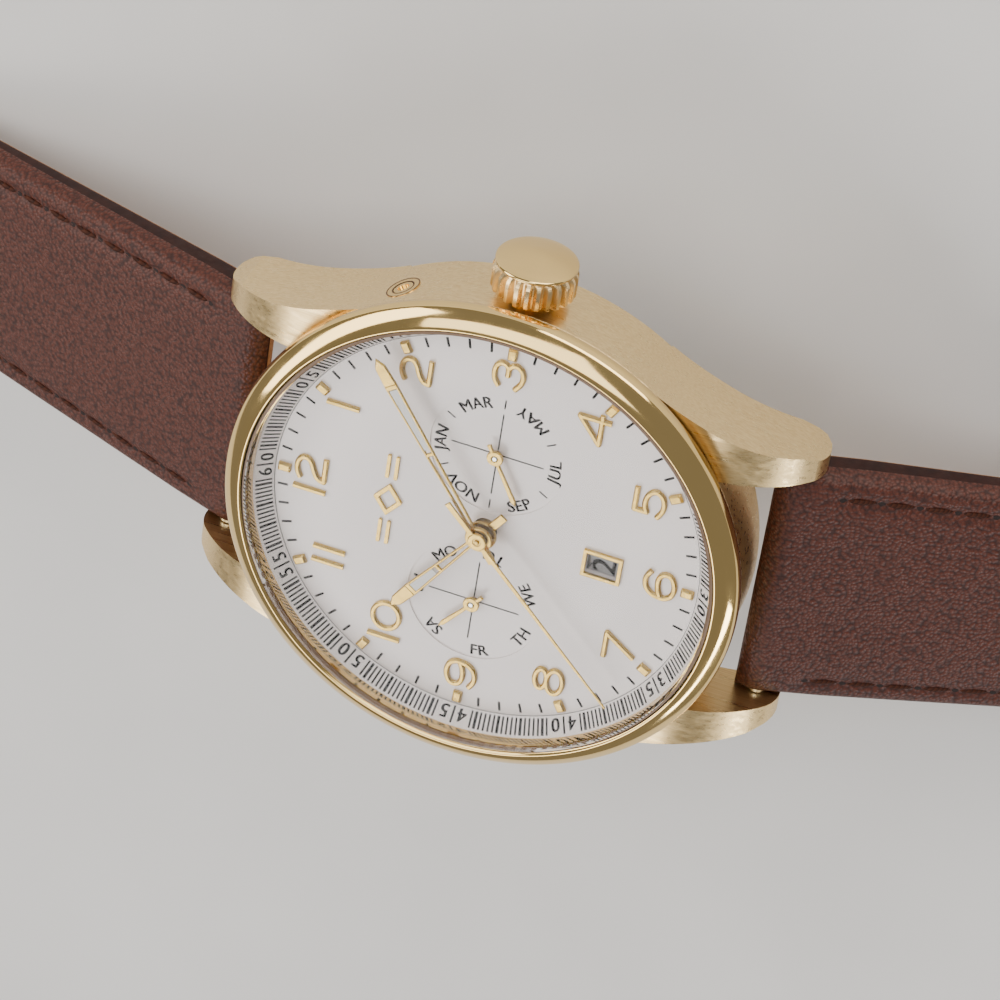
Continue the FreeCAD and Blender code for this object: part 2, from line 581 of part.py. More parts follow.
def make_small_fixed():
    jewels = [ring(0.55, 0.18, BRIDGE_BOTTOM - 0.12, BRIDGE_BOTTOM, at)
              for at in ((-2.4, 11.0), (2.6, 10.6), (9.6, 5.0))]
    jewels.append(ring(0.6, 0.15, BRIDGE_BOTTOM - 0.12, BRIDGE_BOTTOM, BALANCE_XY))
    save("jewels", *jewels)
    save("bridge_screws", *[screw(SCREW_HEAD_R, SCREW_TOP, -2.6, around(SCREW_CIRCLE_R, degrees))
                            for degrees in SCREW_ANGLES])

    tab = box(12.75, 15.1, -1.2, 1.2, -4.85, -4.6)
    clamp = fused([tab, screw(0.75, -5.2, -4.85, (14.0, 0))])
    save("casing_clamps", *[spun(clamp, d) for d in (75, 195, 315)])
    bearing = turned([(0.0, -6.5), (1.0, -6.5), (1.0, -6.2), (2.1, -6.2), (2.1, -5.45), (0.0, -5.45)])
    save("rotor_bearing", bearing)


def make_rotor():
    blade = disc(12.6, -6.5, -6.25).common(half_disc(180, 360))
    rim = ring(12.7, 10.4, -7.35, -6.25).common(half_disc(184, 356))
    hub = disc(2.6, -6.5, -6.25)
    rotor = fused([blade, rim, hub])
    cuts = [ring(9.4, 3.8, -8, -6).common(half_disc(a, a + 50)) for a in (197, 293)]
    for cut in cuts:
        rotor = rotor.cut(cut)
    save("rotor", rotor.cut(disc(1.05, -8, -6)))


def make_train():
    top = CENTRE_WHEEL_Z + 0.2
    centre = gear(CENTRE_TEETH, CENTRE_MODULE, CENTRE_WHEEL_Z, top, bore=0.3)
    centre = centre.cut(crossings(3.3, 1.3, 4, 0.4, CENTRE_WHEEL_Z, top))
    leaves = gear(CENTRE_LEAVES, BARREL_MODULE, -4.1, CENTRE_WHEEL_Z, bore=0.3)
    save("centre_wheel", fused([centre, leaves]))

    top = THIRD_WHEEL_Z + 0.2
    third = gear(THIRD_TEETH, THIRD_MODULE, THIRD_WHEEL_Z, top, THIRD_XY,
                 phase=meshing_phase(THIRD_TEETH, THIRD_XY, FOURTH_LEAVES, (0, 0), 0))
    third = third.cut(crossings(3.2, 0.8, 4, 0.35, THIRD_WHEEL_Z, top, THIRD_XY))
    pinion = gear(THIRD_LEAVES, CENTRE_MODULE, -3.8, -3.45, THIRD_XY,
                  phase=meshing_phase(THIRD_LEAVES, THIRD_XY, CENTRE_TEETH, (0, 0), 0))
    save("third_wheel", fused([third, pinion, disc(0.14, -5.35, -3.45, THIRD_XY)]))

    make_escape_wheel()
    make_barrel()


def make_escape_wheel():
    top = ESCAPE_WHEEL_Z + 0.15
    points = []
    for i in range(ESCAPE_TEETH):
        for share, r in ((0, 1.85), (0.12, 1.85), (0.35, 1.4), (0.8, 1.35)):
            a = 2 * math.pi * (i + share) / ESCAPE_TEETH
            points.append((ESCAPE_XY[0] + r * math.cos(a), ESCAPE_XY[1] + r * math.sin(a)))
    wheel = plate(points, ESCAPE_WHEEL_Z, top)
    wheel = wheel.cut(crossings(1.1, 0.45, 4, 0.2, ESCAPE_WHEEL_Z, top, ESCAPE_XY))
    pinion = gear(ESCAPE_LEAVES, FOURTH_MODULE, -5.3, -5.05, ESCAPE_XY,
                  phase=meshing_phase(ESCAPE_LEAVES, ESCAPE_XY, FOURTH_TEETH, (0, 0), 0))
    save("escape_wheel", fused([wheel, pinion, disc(0.12, -5.35, -3.85, ESCAPE_XY)]))


def make_barrel():
    """Hollow toothed drum, the mainspring in it, and the ratchet wheel on the drum's arbor."""
    arbor_r = 0.45
    bore = disc(arbor_r + RUNNING, -7, -3, BARREL_XY)
    drum = disc(4.75, DRUM_Z, -4.1, BARREL_XY).cut(disc(4.5, DRUM_Z + 0.12, -4.22, BARREL_XY))
    teeth = gear(BARREL_TEETH, BARREL_MODULE, -4.1, -3.85, BARREL_XY,
                 phase=meshing_phase(BARREL_TEETH, BARREL_XY, CENTRE_LEAVES, (0, 0), 0))
    save("mainspring_barrel", fused([drum, teeth]).cut(bore))
    save("mainspring", spiral(BARREL_XY, 0.9, 0.4, 16, 0.11, DRUM_Z + 0.2, -4.3))
    ratchet = gear(RATCHET_TEETH, 0.1, -6.2, -6.05, BARREL_XY)
    save("ratchet_wheel", fused([ratchet, disc(arbor_r, -6.05, -3.6, BARREL_XY)]))


def make_escapement():
    toward = math.degrees(math.atan2(BALANCE_XY[1] - PALLET_XY[1], BALANCE_XY[0] - PALLET_XY[0]))
    z0 = ESCAPE_WHEEL_Z
    z1 = ESCAPE_WHEEL_Z + 0.15
    stem = box(0, 1.75, -0.12, 0.12, z0, z1)
    horns = box(1.6, 2.05, -0.3, 0.3, z0, z1).cut(box(1.75, 2.2, -0.14, 0.14, -5, -4))
    arms = box(-0.62, -0.1, -1.35, 1.35, z0, z1).fuse(disc(0.3, z0, z1))
    fork = fused([stem, horns, arms, disc(0.1, -4.75, -3.5)])
    fork.rotate(V(0, 0, 0), V(0, 0, 1), toward)
    save("pallet_fork", moved(fork, *PALLET_XY))

    rim = ring(3.6, 3.15, BALANCE_Z, BALANCE_Z + 0.3, BALANCE_XY)
    spoke = moved(box(-0.2, 0.2, -3.3, 3.3, BALANCE_Z, BALANCE_Z + 0.15), *BALANCE_XY)
    spokes = [spun(spoke, degrees, BALANCE_XY) for degrees in (20, 110)]
    staff = disc(0.13, -5.38, -3.6, BALANCE_XY)
    roller = disc(0.5, -4.95, -4.75, BALANCE_XY)
    save("balance_wheel", fused([rim, staff, roller, *spokes]))

    coil = spiral(BALANCE_XY, 0.45, 0.17, 14, 0.07, HAIRSPRING_Z, HAIRSPRING_Z + 0.12)
    collet = ring(0.5, 0.13, HAIRSPRING_Z, HAIRSPRING_Z + 0.15, BALANCE_XY)
    save("hairspring", fused([coil, collet]))


# ---- crown and corrector ---------------------------------------------------------------
def make_crown():
    skirt_end = CROWN_X + 2.25
    groove_r = CROWN_R - 0.35
    points = []
    for i in range(CROWN_FLUTES):
        for share, r in ((-0.36, groove_r), (-0.16, CROWN_R), (0.16, CROWN_R), (0.36, groove_r)):
            a = 2 * math.pi * (i + share) / CROWN_FLUTES
            points.append(V(CROWN_X, r * math.cos(a), up(CROWN_Z) + r * math.sin(a)))
    skirt = Part.Face(Part.makePolygon(points + [points[0]])).extrude(V(2.25, 0, 0))
    bevels = turned_x([(CROWN_X, 0), (CROWN_X, CROWN_R - 0.2), (CROWN_X + 0.2, CROWN_R),
                       (skirt_end - 0.5, CROWN_R), (skirt_end - 0.1, groove_r), (skirt_end, groove_r),
                       (skirt_end, 0)], CROWN_Z)
    edge_r = CROWN_CAP_R - 0.28
    cap = turned_x([(skirt_end - 0.25, 0), (skirt_end - 0.25, edge_r), (skirt_end - 0.05, CROWN_CAP_R),
                    (skirt_end + 0.15, CROWN_CAP_R - 0.05), (skirt_end + 0.34, edge_r),
                    (skirt_end + 0.34, 0)], CROWN_Z)
    dome_r = 7.2
    dome = Part.makeSphere(dome_r, V(skirt_end + 0.95 - dome_r, 0, up(CROWN_Z)))
    dome_limit = Part.makeCylinder(edge_r, 1.2, V(skirt_end, 0, up(CROWN_Z)), V(1, 0, 0))
    well = Part.makeCylinder(1.8, 1.35, V(CROWN_X - 0.1, 0, up(CROWN_Z)), V(1, 0, 0))
    crown = fused([skirt.common(bevels), cap, dome.common(dome_limit)]).cut(well)
    save("crown", crown)
    save("crown_gasket", turned_x([(CROWN_X + 0.2, 1.5), (CROWN_X + 0.9, 1.5),
                                   (CROWN_X + 0.9, 1.8), (CROWN_X + 0.2, 1.8)], CROWN_Z))
    end = CROWN_X + 1.25
    stem = turned_x([(7.6, 0), (7.6, 0.3), (8.0, 0.42), (9.7, 0.45), (9.7, 0.28), (10.4, 0.28),
                     (10.4, 0.45), (end, 0.45), (end, 0)], CROWN_Z)
    save("winding_stem", stem)
    teeth = 14
    points = []
    for i in range(teeth):
        for share, r in ((-0.25, 0.7), (-0.12, 1.0), (0.12, 1.0), (0.25, 0.7)):
            a = 2 * math.pi * (i + share) / teeth
            points.append(V(8.1, r * math.cos(a), up(CROWN_Z) + r * math.sin(a)))
    clutch = Part.Face(Part.makePolygon(points + [points[0]])).extrude(V(1.1, 0, 0))
    bore = turned_x([(7.6, 0), (7.6, 0.3), (8.0, 0.42), (9.7, 0.45), (9.7, 0)], CROWN_Z)
    save("clutch_wheel", clutch.cut(bore))
    lever = box(9.9, 10.2, -0.8, 0.8, -3.75, -2.4)
    save("setting_lever", lever.cut(box(9, 11, -0.35, 0.35, CROWN_Z - 0.35, 0)))


def make_corrector():
    pusher = corrector_rod(0.8, 16.4, 20.3).fuse(corrector_rod(1.0, 16.4, 16.9))
    save("corrector_pusher", pusher.cut(corrector_rod(0.48, 20.12, 21)))


# ---- strap -------------------------------------------------------------------------------
def strap_path(bend_r):
    """Start, bend start, bend end and the flat run's height for a strap half on the +Y side."""
    start = (BAR_Y, BAR_Z)
    a = STRAP_DROOP
    bend = (start[0] + STRAP_STRAIGHT * math.cos(a), start[1] - STRAP_STRAIGHT * math.sin(a))
    flat = (bend[0] + bend_r * math.sin(a), bend[1] - bend_r * (1 - math.cos(a)))
    return start, bend, flat


def strap_side(bend_r, end_y, offset):
    """Points of the path shifted by offset times the local half thickness."""
    start, bend, flat = strap_path(bend_r)
    a = STRAP_DROOP
    halves = (STRAP_NOSE_R, STRAP_T_BEND / 2, STRAP_T_END / 2)
    mid_a = a / 2
    mid = (bend[0] + bend_r * (math.sin(a) - math.sin(mid_a)),
           bend[1] - bend_r * (math.cos(mid_a) - math.cos(a)))
    mid_half = (halves[1] + halves[2]) / 2

    def shifted(point, angle, half):
        d = offset * half
        return V(0, point[0] + d * math.sin(angle), up(point[1] + d * math.cos(angle)))
    return (shifted(start, a, halves[0]), shifted(bend, a, halves[1]),
            shifted(mid, mid_a, mid_half), shifted(flat, 0, halves[2]),
            shifted((end_y, flat[1]), 0, halves[2]))


def strap_slab(bend_r, end_y, round_end):
    top = strap_side(bend_r, end_y, 1)
    low = strap_side(bend_r, end_y, -1)
    a = STRAP_DROOP
    nose = V(0, BAR_Y - STRAP_NOSE_R * math.cos(a), up(BAR_Z + STRAP_NOSE_R * math.sin(a)))
    edges = [Part.LineSegment(top[0], top[1]), Part.Arc(top[1], top[2], top[3]),
             Part.LineSegment(top[3], top[4])]
    if round_end:
        half = (top[4].z - low[4].z) / 2
        edges.append(Part.Arc(top[4], V(0, end_y + half, top[4].z - half), low[4]))
    else:
        edges.append(Part.LineSegment(top[4], low[4]))
    edges += [Part.LineSegment(low[4], low[3]), Part.Arc(low[3], low[2], low[1]),
              Part.LineSegment(low[1], low[0]), Part.Arc(low[0], nose, top[0])]
    face = Part.Face(Part.Wire([e.toShape() for e in edges]))
    slab = face.extrude(V(STRAP_W, 0, 0))
    slab.translate(V(-STRAP_W / 2, 0, 0))
    return slab


def strap_bar_hole():
    return Part.makeCylinder(BAR_R + RUNNING, 30, V(-15, BAR_Y, up(BAR_Z)), V(1, 0, 0))


def buckle_z():
    return strap_path(BUCKLE_BEND_R)[2][1]


def make_straps():
    slab = strap_slab(BUCKLE_BEND_R, BUCKLE_BAR_Y, True)
    w, e = STRAP_W / 2, STRAP_W_END / 2
    plan = plate([(-w, 15), (w, 15), (w, 27), (e, 82), (e, 95), (-e, 95), (-e, 82), (-w, 27)],
                 -40, 20)
    short = slab.common(plan).cut(strap_bar_hole())
    bar_hole = Part.makeCylinder(BAR_R + RUNNING, 30, V(-15, BUCKLE_BAR_Y, up(buckle_z())), V(1, 0, 0))
    slot = box(-1.4, 1.4, BUCKLE_BAR_Y - 4.5, BUCKLE_BAR_Y + 3, -40, 0)
    save("strap_buckle_half", short.cut(bar_hole).cut(slot))

    slab = strap_slab(HOLES_BEND_R, TAIL_Y, False)
    tip = Part.Arc(V(e, TAIL_Y - 7, 0), V(0, TAIL_Y, 0), V(-e, TAIL_Y - 7, 0)).toShape()
    corners = [V(-e, TAIL_Y - 7, 0), V(-e, 82, 0), V(-w, 27, 0), V(-w, 15, 0), V(w, 15, 0),
               V(w, 27, 0), V(e, 82, 0), V(e, TAIL_Y - 7, 0)]
    edges = [tip] + [Part.LineSegment(a, b).toShape() for a, b in zip(corners, corners[1:])]
    plan = Part.Face(Part.Wire(edges)).extrude(V(0, 0, 60))
    plan.translate(V(0, 0, -30))
    long_half = slab.common(plan).cut(strap_bar_hole())
    for i in range(HOLE_COUNT):
        long_half = long_half.cut(disc(1.0, -40, 0, (0, TAIL_Y - 24 - HOLE_STEP * i)))
    save("strap_hole_half", mirrored(long_half, V(0, 1, 0)))

    bar = turned_x([(-12.15, 0), (-12.15, 0.4), (-11.0, 0.4), (-10.9, BAR_R), (10.9, BAR_R),
                    (11.0, 0.4), (12.15, 0.4), (12.15, 0)], BAR_Z)
    bar = moved(bar, 0, BAR_Y)
    save("spring_bars", bar, mirrored(bar, V(0, 1, 0)))


def keeper(y0, y1, inner_w):
    low = buckle_z() - STRAP_T_END / 2
    high = low + STRAP_T_END + KEEPER_ROOM
    half = inner_w / 2
    outer = box(-half - KEEPER_T, half + KEEPER_T, y0, y1, low - KEEPER_T, high + KEEPER_T)
    corners = [e for e in outer.Edges if abs(e.tangentAt(e.FirstParameter).y) > 0.9]
    return outer.makeFillet(0.9, corners).cut(box(-half, half, y0 - 1, y1 + 1, low, high))


def make_buckle():
    z = buckle_z()
    floor = z - STRAP_T_END / 2 - KEEPER_T
    save("fixed_keeper", keeper(*FIXED_KEEPER, STRAP_W_END + 0.3))
    save("free_keeper", keeper(*FREE_KEEPER, STRAP_W_END + 1.4))

    y = BUCKLE_BAR_Y
    side = [V(0, y - 1.6, up(z - 1.1)), V(0, y - 1.6, up(z + 1.1)), V(0, y + 8.6, up(z + 0.4)),
            V(0, y + 10.9, up(z - 0.6)), V(0, y + 11.1, up(floor + 0.5)), V(0, y + 9.6, up(floor)),
            V(0, y + 7.5, up(floor + 0.4))]
    slab = Part.Face(Part.makePolygon(side + [side[0]])).extrude(V(24, 0, 0))
    slab.translate(V(-12, 0, 0))
    outer = plate([(-11.0, y - 2), (11.0, y - 2), (11.6, y + 3), (11.2, y + 9.5), (9.6, y + 11.2),
                   (-9.6, y + 11.2), (-11.2, y + 9.5), (-11.6, y + 3)], -40, 10)
    gap = STRAP_W_END / 2 + 0.25
    opening = plate([(-gap, y - 5), (gap, y - 5), (gap, y + 7.2), (gap - 0.8, y + 8.2),
                     (-gap + 0.8, y + 8.2), (-gap, y + 7.2)], -45, 15)
    frame = slab.common(outer).cut(opening)
    bar = Part.makeCylinder(BAR_R, 21.2, V(-10.6, y, up(z)), V(1, 0, 0))
    save("buckle_frame", frame.cut(bar))
    save("buckle_bar", bar)

    loop = Part.makeCylinder(1.25, 2.2, V(-1.1, y, up(z)), V(1, 0, 0))
    side = [(0, 0.35), (0, 1.25), (9.2, 1.45), (11.4, 0.35), (11.3, 0.0), (10.9, -0.1), (8.7, 0.6)]
    corners = [V(-1.1, y + along, up(z + height)) for along, height in side]
    rod = Part.Face(Part.makePolygon(corners + [corners[0]])).extrude(V(2.2, 0, 0))
    hole = Part.makeCylinder(BAR_R + RUNNING, 4, V(-2, y, up(z)), V(1, 0, 0))
    save("buckle_tongue", fused([loop, rod]).cut(hole))


def main():
    make_case()
    make_bezel()
    make_glass_and_rings()
    make_back()
    make_dial()
    make_hands()
    make_calendar()
    make_plates()
    make_small_fixed()
    make_rotor()
    make_train()
    make_escapement()
    make_crown()
    make_corrector()
    make_straps()
    make_buckle()


main()
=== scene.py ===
import json
import math

import bpy
from mathutils import Matrix, Vector, noise


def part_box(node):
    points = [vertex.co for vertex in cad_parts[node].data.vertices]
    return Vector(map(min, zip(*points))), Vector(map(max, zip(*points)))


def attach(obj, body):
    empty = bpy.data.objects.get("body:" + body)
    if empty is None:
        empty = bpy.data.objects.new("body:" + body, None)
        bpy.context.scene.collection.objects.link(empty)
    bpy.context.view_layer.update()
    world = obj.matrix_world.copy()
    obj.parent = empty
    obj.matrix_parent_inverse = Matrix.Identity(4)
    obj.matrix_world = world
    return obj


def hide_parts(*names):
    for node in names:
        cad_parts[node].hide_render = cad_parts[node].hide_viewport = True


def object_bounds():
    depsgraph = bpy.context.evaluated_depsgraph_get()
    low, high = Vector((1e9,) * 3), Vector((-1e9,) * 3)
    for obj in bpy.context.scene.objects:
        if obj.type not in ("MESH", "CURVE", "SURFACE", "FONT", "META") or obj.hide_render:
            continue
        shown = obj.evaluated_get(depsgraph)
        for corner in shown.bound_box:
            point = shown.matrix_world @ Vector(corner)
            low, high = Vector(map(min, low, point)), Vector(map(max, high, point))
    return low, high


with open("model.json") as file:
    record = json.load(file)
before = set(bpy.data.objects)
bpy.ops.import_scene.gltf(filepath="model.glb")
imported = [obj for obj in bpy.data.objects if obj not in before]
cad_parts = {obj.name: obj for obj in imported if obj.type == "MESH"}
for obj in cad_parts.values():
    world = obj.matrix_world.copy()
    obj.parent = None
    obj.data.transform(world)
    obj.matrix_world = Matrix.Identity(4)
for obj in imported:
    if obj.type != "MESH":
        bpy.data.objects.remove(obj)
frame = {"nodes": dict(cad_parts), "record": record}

# Lengths below are millimetres in the part's own frame, and MM turns them into metres.
MM = 0.001
CAD_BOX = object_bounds()


# ---- places and sizes ----
def low_high(node):
    low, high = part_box(node)
    return low / MM, high / MM


DIAL_Z = low_high("dial")[1].z
SUB_X = sum(corner.x for corner in low_high("month_star")) / 2
SUB_R = 5.45
BEZEL_HIGH = low_high("bezel")[1]
BEZEL_R = BEZEL_HIGH.x
SCALE_FOOT = (17.42, DIAL_Z + 0.05)  # radius and height where the scale ring starts to rise
SCALE_TOP = (18.75, DIAL_Z + 1.2)
TICK_IN, TICK_OUT = 16.3, 17.15
INK_T = 0.012
INK_LIFT = 0.004  # clearance of printing over the face below it
SUB_Z = DIAL_Z - 0.12  # floor of the sub-dials
ZONE_R = 3.62  # inside of their turned zones
CORRECTOR_BORE_R = 0.85

DIGIT_STROKE = 0.45
DIGIT_HEIGHT = 0.3

HOUR_ANGLE = 304.4
MINUTE_ANGLE = 52.8
SECOND_ANGLE = 223.9
MONTH_ANGLE = 240.0
WEEKDAY_ANGLE = 308.6
HAND_T = 0.2
HOUR_HAND_Z = DIAL_Z + 0.85
MINUTE_HAND_Z = DIAL_Z + 1.42
SECOND_HAND_Z = DIAL_Z + 1.84

BAR_Y, BAR_Z = 22.4, DIAL_Z - 5.5  # spring bar of the short strap half
DROOP = math.radians(20)
STRAIGHT = 30.0
NOSE_HALF, BEND_HALF, FLAT_HALF = 1.8, 1.45, 1.2  # half thicknesses of the leather
STRAP_W, STRAP_W_END = 21.7, 18.0
TAPER_START, TAPER_END = 27.0, 82.0
BUCKLE_BEND, HOLES_BEND = 43.0, 60.0
BUCKLE_BAR_Y = sum(corner.y for corner in low_high("buckle_bar")) / 2
TAIL_Y = -low_high("strap_hole_half")[0].y
TAIL_DEPTH = 7.0
TAIL_R = ((STRAP_W_END / 2) ** 2 + TAIL_DEPTH ** 2) / (2 * TAIL_DEPTH)
SEAM_IN = 2.0  # stitches' distance from the strap's edge
STITCH_PITCH = 3.0
SEAM_START = 3.4  # first stitch's distance from the spring bar
HOLE_LONG, HOLE_WIDE = 0.3, 0.2  # half sizes of a needle mark
FLOOR_Z = CAD_BOX[0].z / MM


# ---- mesh helpers ----
def linked(name, data):
    """A new object holding data, placed in the scene."""
    made = bpy.data.objects.new(name, data)
    bpy.context.scene.collection.objects.link(made)
    return made


def mesh_of(name, vertices, faces):
    mesh = bpy.data.meshes.new(name)
    mesh.from_pydata([Vector(v) * MM for v in vertices], [], faces)
    return mesh


def bands(rows, size, loop=False):
    """Quads between rows of size vertices, each row closed on itself."""
    faces = []
    for i in range(rows if loop else rows - 1):
        a, b = i * size, (i + 1) % rows * size
        faces += [(a + j, a + (j + 1) % size, b + (j + 1) % size, b + j) for j in range(size)]
    return faces


def caps(size, total):
    """The faces that close the first and the last row."""
    return [tuple(range(size))[::-1], tuple(range(total - size, total))]


class Shape:
    """Vertices in millimetres and faces, gathered before they become one mesh."""

    def __init__(self):
        self.vertices = []
        self.faces = []
        self.slots = []

    def add(self, vertices, faces, slot=0):
        start = len(self.vertices)
        self.vertices += [tuple(v) for v in vertices]
        self.faces += [tuple(i + start for i in face) for face in faces]
        self.slots += [slot] * len(faces)

    def piece(self, name, body, slot, *materials, smooth=True):
        mesh = mesh_of(name, self.vertices, self.faces)
        mesh.polygons.foreach_set("material_index", self.slots)
        mesh.polygons.foreach_set("use_smooth", [smooth] * len(self.faces))
        mesh.update()
        for material in materials or (slot,):
            mesh.materials.append(MATERIALS[material])
        made = linked(name, mesh)
        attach(made, body)
        return made


def clock(r, degrees, centre=(0.0, 0.0)):
    """The point at radius r, its angle clockwise from 12 as seen from the dial side."""
    a = math.radians(degrees)
    return (centre[0] + r * math.sin(a), centre[1] + r * math.cos(a))


def turned(shape, profile, centre=(0.0, 0.0), steps=96, slot=0):
    """A solid of revolution about a vertical axis from (radius, height) corners."""
    vertices = []
    for i in range(steps):
        for r, z in profile:
            vertices.append((*clock(r, -360 * i / steps, centre), z))
    count = len(profile)
    faces = []
    for i in range(steps):
        a, b = i * count, (i + 1) % steps * count
        for j in range(count):
            k = (j + 1) % count
            faces.append((a + j, b + j, b + k, a + k))
    shape.add(vertices, faces, slot)


def smoothed(points, cuts=6):
    """Points of a smooth line through the given (r, z) corners."""
    line = []
    padded = [points[0], *points, points[-1]]
    for a, b, c, d in zip(padded, padded[1:], padded[2:], padded[3:]):
        for k in range(cuts):
            t = k / cuts
            line.append(tuple(
                0.5 * (2 * q + (r - p) * t + (2 * p - 5 * q + 4 * r - s) * t * t
                       + (3 * q - p - 3 * r + s) * t ** 3)
                for p, q, r, s in zip(a, b, c, d)))
    return line + [points[-1]]


def arc(cx, cy, r, start, end, step=9):
    """Points of an arc, its angles counterclockwise from +X."""
    count = max(2, round(abs(end - start) / step))
    angles = [math.radians(start + (end - start) * i / count) for i in range(count + 1)]
    return [(cx + r * math.cos(a), cy + r * math.sin(a)) for a in angles]


def offsets(path, closed):
    """The mitred sideways direction at each point of a flat path."""
    count = len(path)
    sides = []
    for i in range(count):
        here = Vector(path[i])
        ways = []
        if closed or i:
            ways.append((here - Vector(path[i - 1])).normalized())
        if closed or i < count - 1:
            ways.append((Vector(path[(i + 1) % count]) - here).normalized())
        way = sum(ways, Vector((0, 0))).normalized()
        normal = Vector((-way.y, way.x))
        stretch = 1 / max(0.35, way.dot(ways[0]))
        sides.append(normal * stretch)
    return sides


def ribbon(shape, path, width, z, height, chamfer, closed=False):
    """A raised bar with bevelled shoulders along a flat path, standing on height z."""
    half = width / 2
    section = [(-half, 0), (-half, height - chamfer), (chamfer - half, height),
               (half - chamfer, height), (half, height - chamfer), (half, 0)]
    vertices = []
    for point, side in zip(path, offsets(path, closed)):
        for across, rise in section:
            vertices.append((point[0] + side.x * across, point[1] + side.y * across, z + rise))
    size = len(section)
    ends = [] if closed else caps(size, len(vertices))
    shape.add(vertices, bands(len(path), size, closed) + ends)


def slab(shape, outline, z, height, chamfer):
    """A flat convex plate, outline counterclockwise, with a bevelled top edge."""
    sides = offsets(outline, True)
    inner = [(p[0] + s.x * chamfer, p[1] + s.y * chamfer) for p, s in zip(outline, sides)]
    rings = [[(x, y, z) for x, y in outline], [(x, y, z + height - chamfer) for x, y in outline],
             [(x, y, z + height) for x, y in inner]]
    count = len(outline)
    shape.add([v for level in rings for v in level], caps(count, 3 * count) + bands(3, count))


def spun(points, degrees, centre=(0.0, 0.0)):
    """Flat points turned clockwise about the origin, then moved to centre."""
    c, s = math.cos(math.radians(degrees)), math.sin(math.radians(degrees))
    return [(centre[0] + x * c + y * s, centre[1] - x * s + y * c) for x, y in points]


def glyphs(text, height, weight=0.033):
    """Flat vertices and faces of a line of characters, made heavier by a copy to each side."""
    curve = bpy.data.curves.new("text", "FONT")
    curve.body = text
    curve.size = height / 0.72
    curve.resolution_u = 3
    curve.align_x = "CENTER"
    holder = linked("text", curve)
    bpy.context.view_layer.update()
    mesh = holder.evaluated_get(bpy.context.evaluated_depsgraph_get()).to_mesh()
    flat, faces = [], []
    for shift in (-weight, 0, weight):
        start = len(flat)
        flat += [(v.co.x + shift, v.co.y - height / 2 + shift / 3) for v in mesh.vertices]
        faces += [tuple(i + start for i in p.vertices) for p in mesh.polygons]
    bpy.data.objects.remove(holder)
    bpy.data.curves.remove(curve)
    return flat, faces


# ---- materials ----
class Paint:
    """A Principled material, with short chains of nodes for its colour, roughness and relief."""

    def __init__(self, name, colour, rough, metallic=0.0):
        self.material = bpy.data.materials.new(name)
        self.material.use_nodes = True
        self.tree = self.material.node_tree
        self.shader = self.tree.nodes["Principled BSDF"]
        self.set(("Base Color", (*colour, 1)), ("Roughness", rough), ("Metallic", metallic))
        self.place = self.node("TexCoord").outputs["Object"]
        self.relief = None

    def set(self, *values):
        for name, value in values:
            self.shader.inputs[name].default_value = value
        return self

    def node(self, kind, inputs=(), **settings):
        made = self.tree.nodes.new("ShaderNode" + kind)
        for name, value in settings.items():
            setattr(made, name, value)
        for name, value in dict(inputs).items():
            if isinstance(value, bpy.types.NodeSocket):
                self.tree.links.new(value, made.inputs[name])
            else:
                made.inputs[name].default_value = value
        return made

    def stretched(self, *scale):
        """Object coordinates scaled per axis: a small number draws the pattern out that way."""
        made = self.node("Mapping", {"Vector": self.place, "Scale": scale})
        return made.outputs["Vector"]

    def noise(self, per_mm, detail=3.0, where=None):
        inputs = {"Vector": where or self.place, "Detail": detail, "Scale": per_mm / MM}
        return self.node("TexNoise", inputs).outputs["Fac"]

    def cells(self, per_mm, where=None):
        inputs = {"Vector": where or self.place, "Scale": per_mm / MM}
        return self.node("TexVoronoi", inputs).outputs["Distance"]

    def rings(self, per_mm, centre=(0.0, 0.0), distortion=0.0):
        """Fine turned grooves round a vertical axis at centre."""
        shift = (-centre[0] * MM, -centre[1] * MM, 0)
        here = self.node("Mapping", {"Vector": self.place, "Location": shift}).outputs["Vector"]
        inputs = {"Vector": here, "Scale": per_mm / MM, "Distortion": distortion}
        return self.node("TexWave", inputs, wave_type="RINGS", rings_direction="Z").outputs["Fac"]

    def stripes(self, per_mm):
        inputs = {"Vector": self.place, "Scale": per_mm / MM}
        return self.node("TexWave", inputs, wave_type="BANDS", bands_direction="DIAGONAL",
                         wave_profile="SAW").outputs["Fac"]

    def ramp(self, fac, *stops):
        made = self.node("ValToRGB", {"Fac": fac})
        points = made.color_ramp.elements
        for i, (at, colour) in enumerate(stops):
            point = points[i] if i < 2 else points.new(at)
            point.position = at
            point.color = (*colour, 1)
        return made.outputs["Color"]

    def colours(self, fac, *stops):
        self.tree.links.new(self.ramp(fac, *stops), self.shader.inputs["Base Color"])
        return self

    def roughness(self, fac, low, high, start=0.3, end=0.7):
        inputs = {"Value": fac, "From Min": start, "From Max": end, "To Min": low, "To Max": high}
        spread = self.node("MapRange", inputs)
        self.tree.links.new(spread.outputs["Result"], self.shader.inputs["Roughness"])
        return self

    def bump(self, height, depth_mm, strength=1.0):
        inputs = {"Height": height, "Distance": depth_mm * MM, "Strength": strength}
        if self.relief is not None:
            inputs["Normal"] = self.relief
        self.relief = self.node("Bump", inputs).outputs["Normal"]
        self.tree.links.new(self.relief, self.shader.inputs["Normal"])
        return self


GOLD = (0.80, 0.56, 0.21)
GOLD_PALE = (0.84, 0.62, 0.30)
GOLD_DEEP = (0.50, 0.33, 0.07)


def polished_gold():
    p = Paint("gold_polished_worn", GOLD, 0.07, 1.0)
    scratches = p.noise(1.6, 4, p.stretched(1, 0.08, 1))
    p.colours(p.noise(0.09), (0.3, GOLD), (0.75, (0.84, 0.60, 0.25)))
    p.roughness(p.noise(0.35, 6), 0.05, 0.13)
    return p.bump(scratches, 0.0006).material


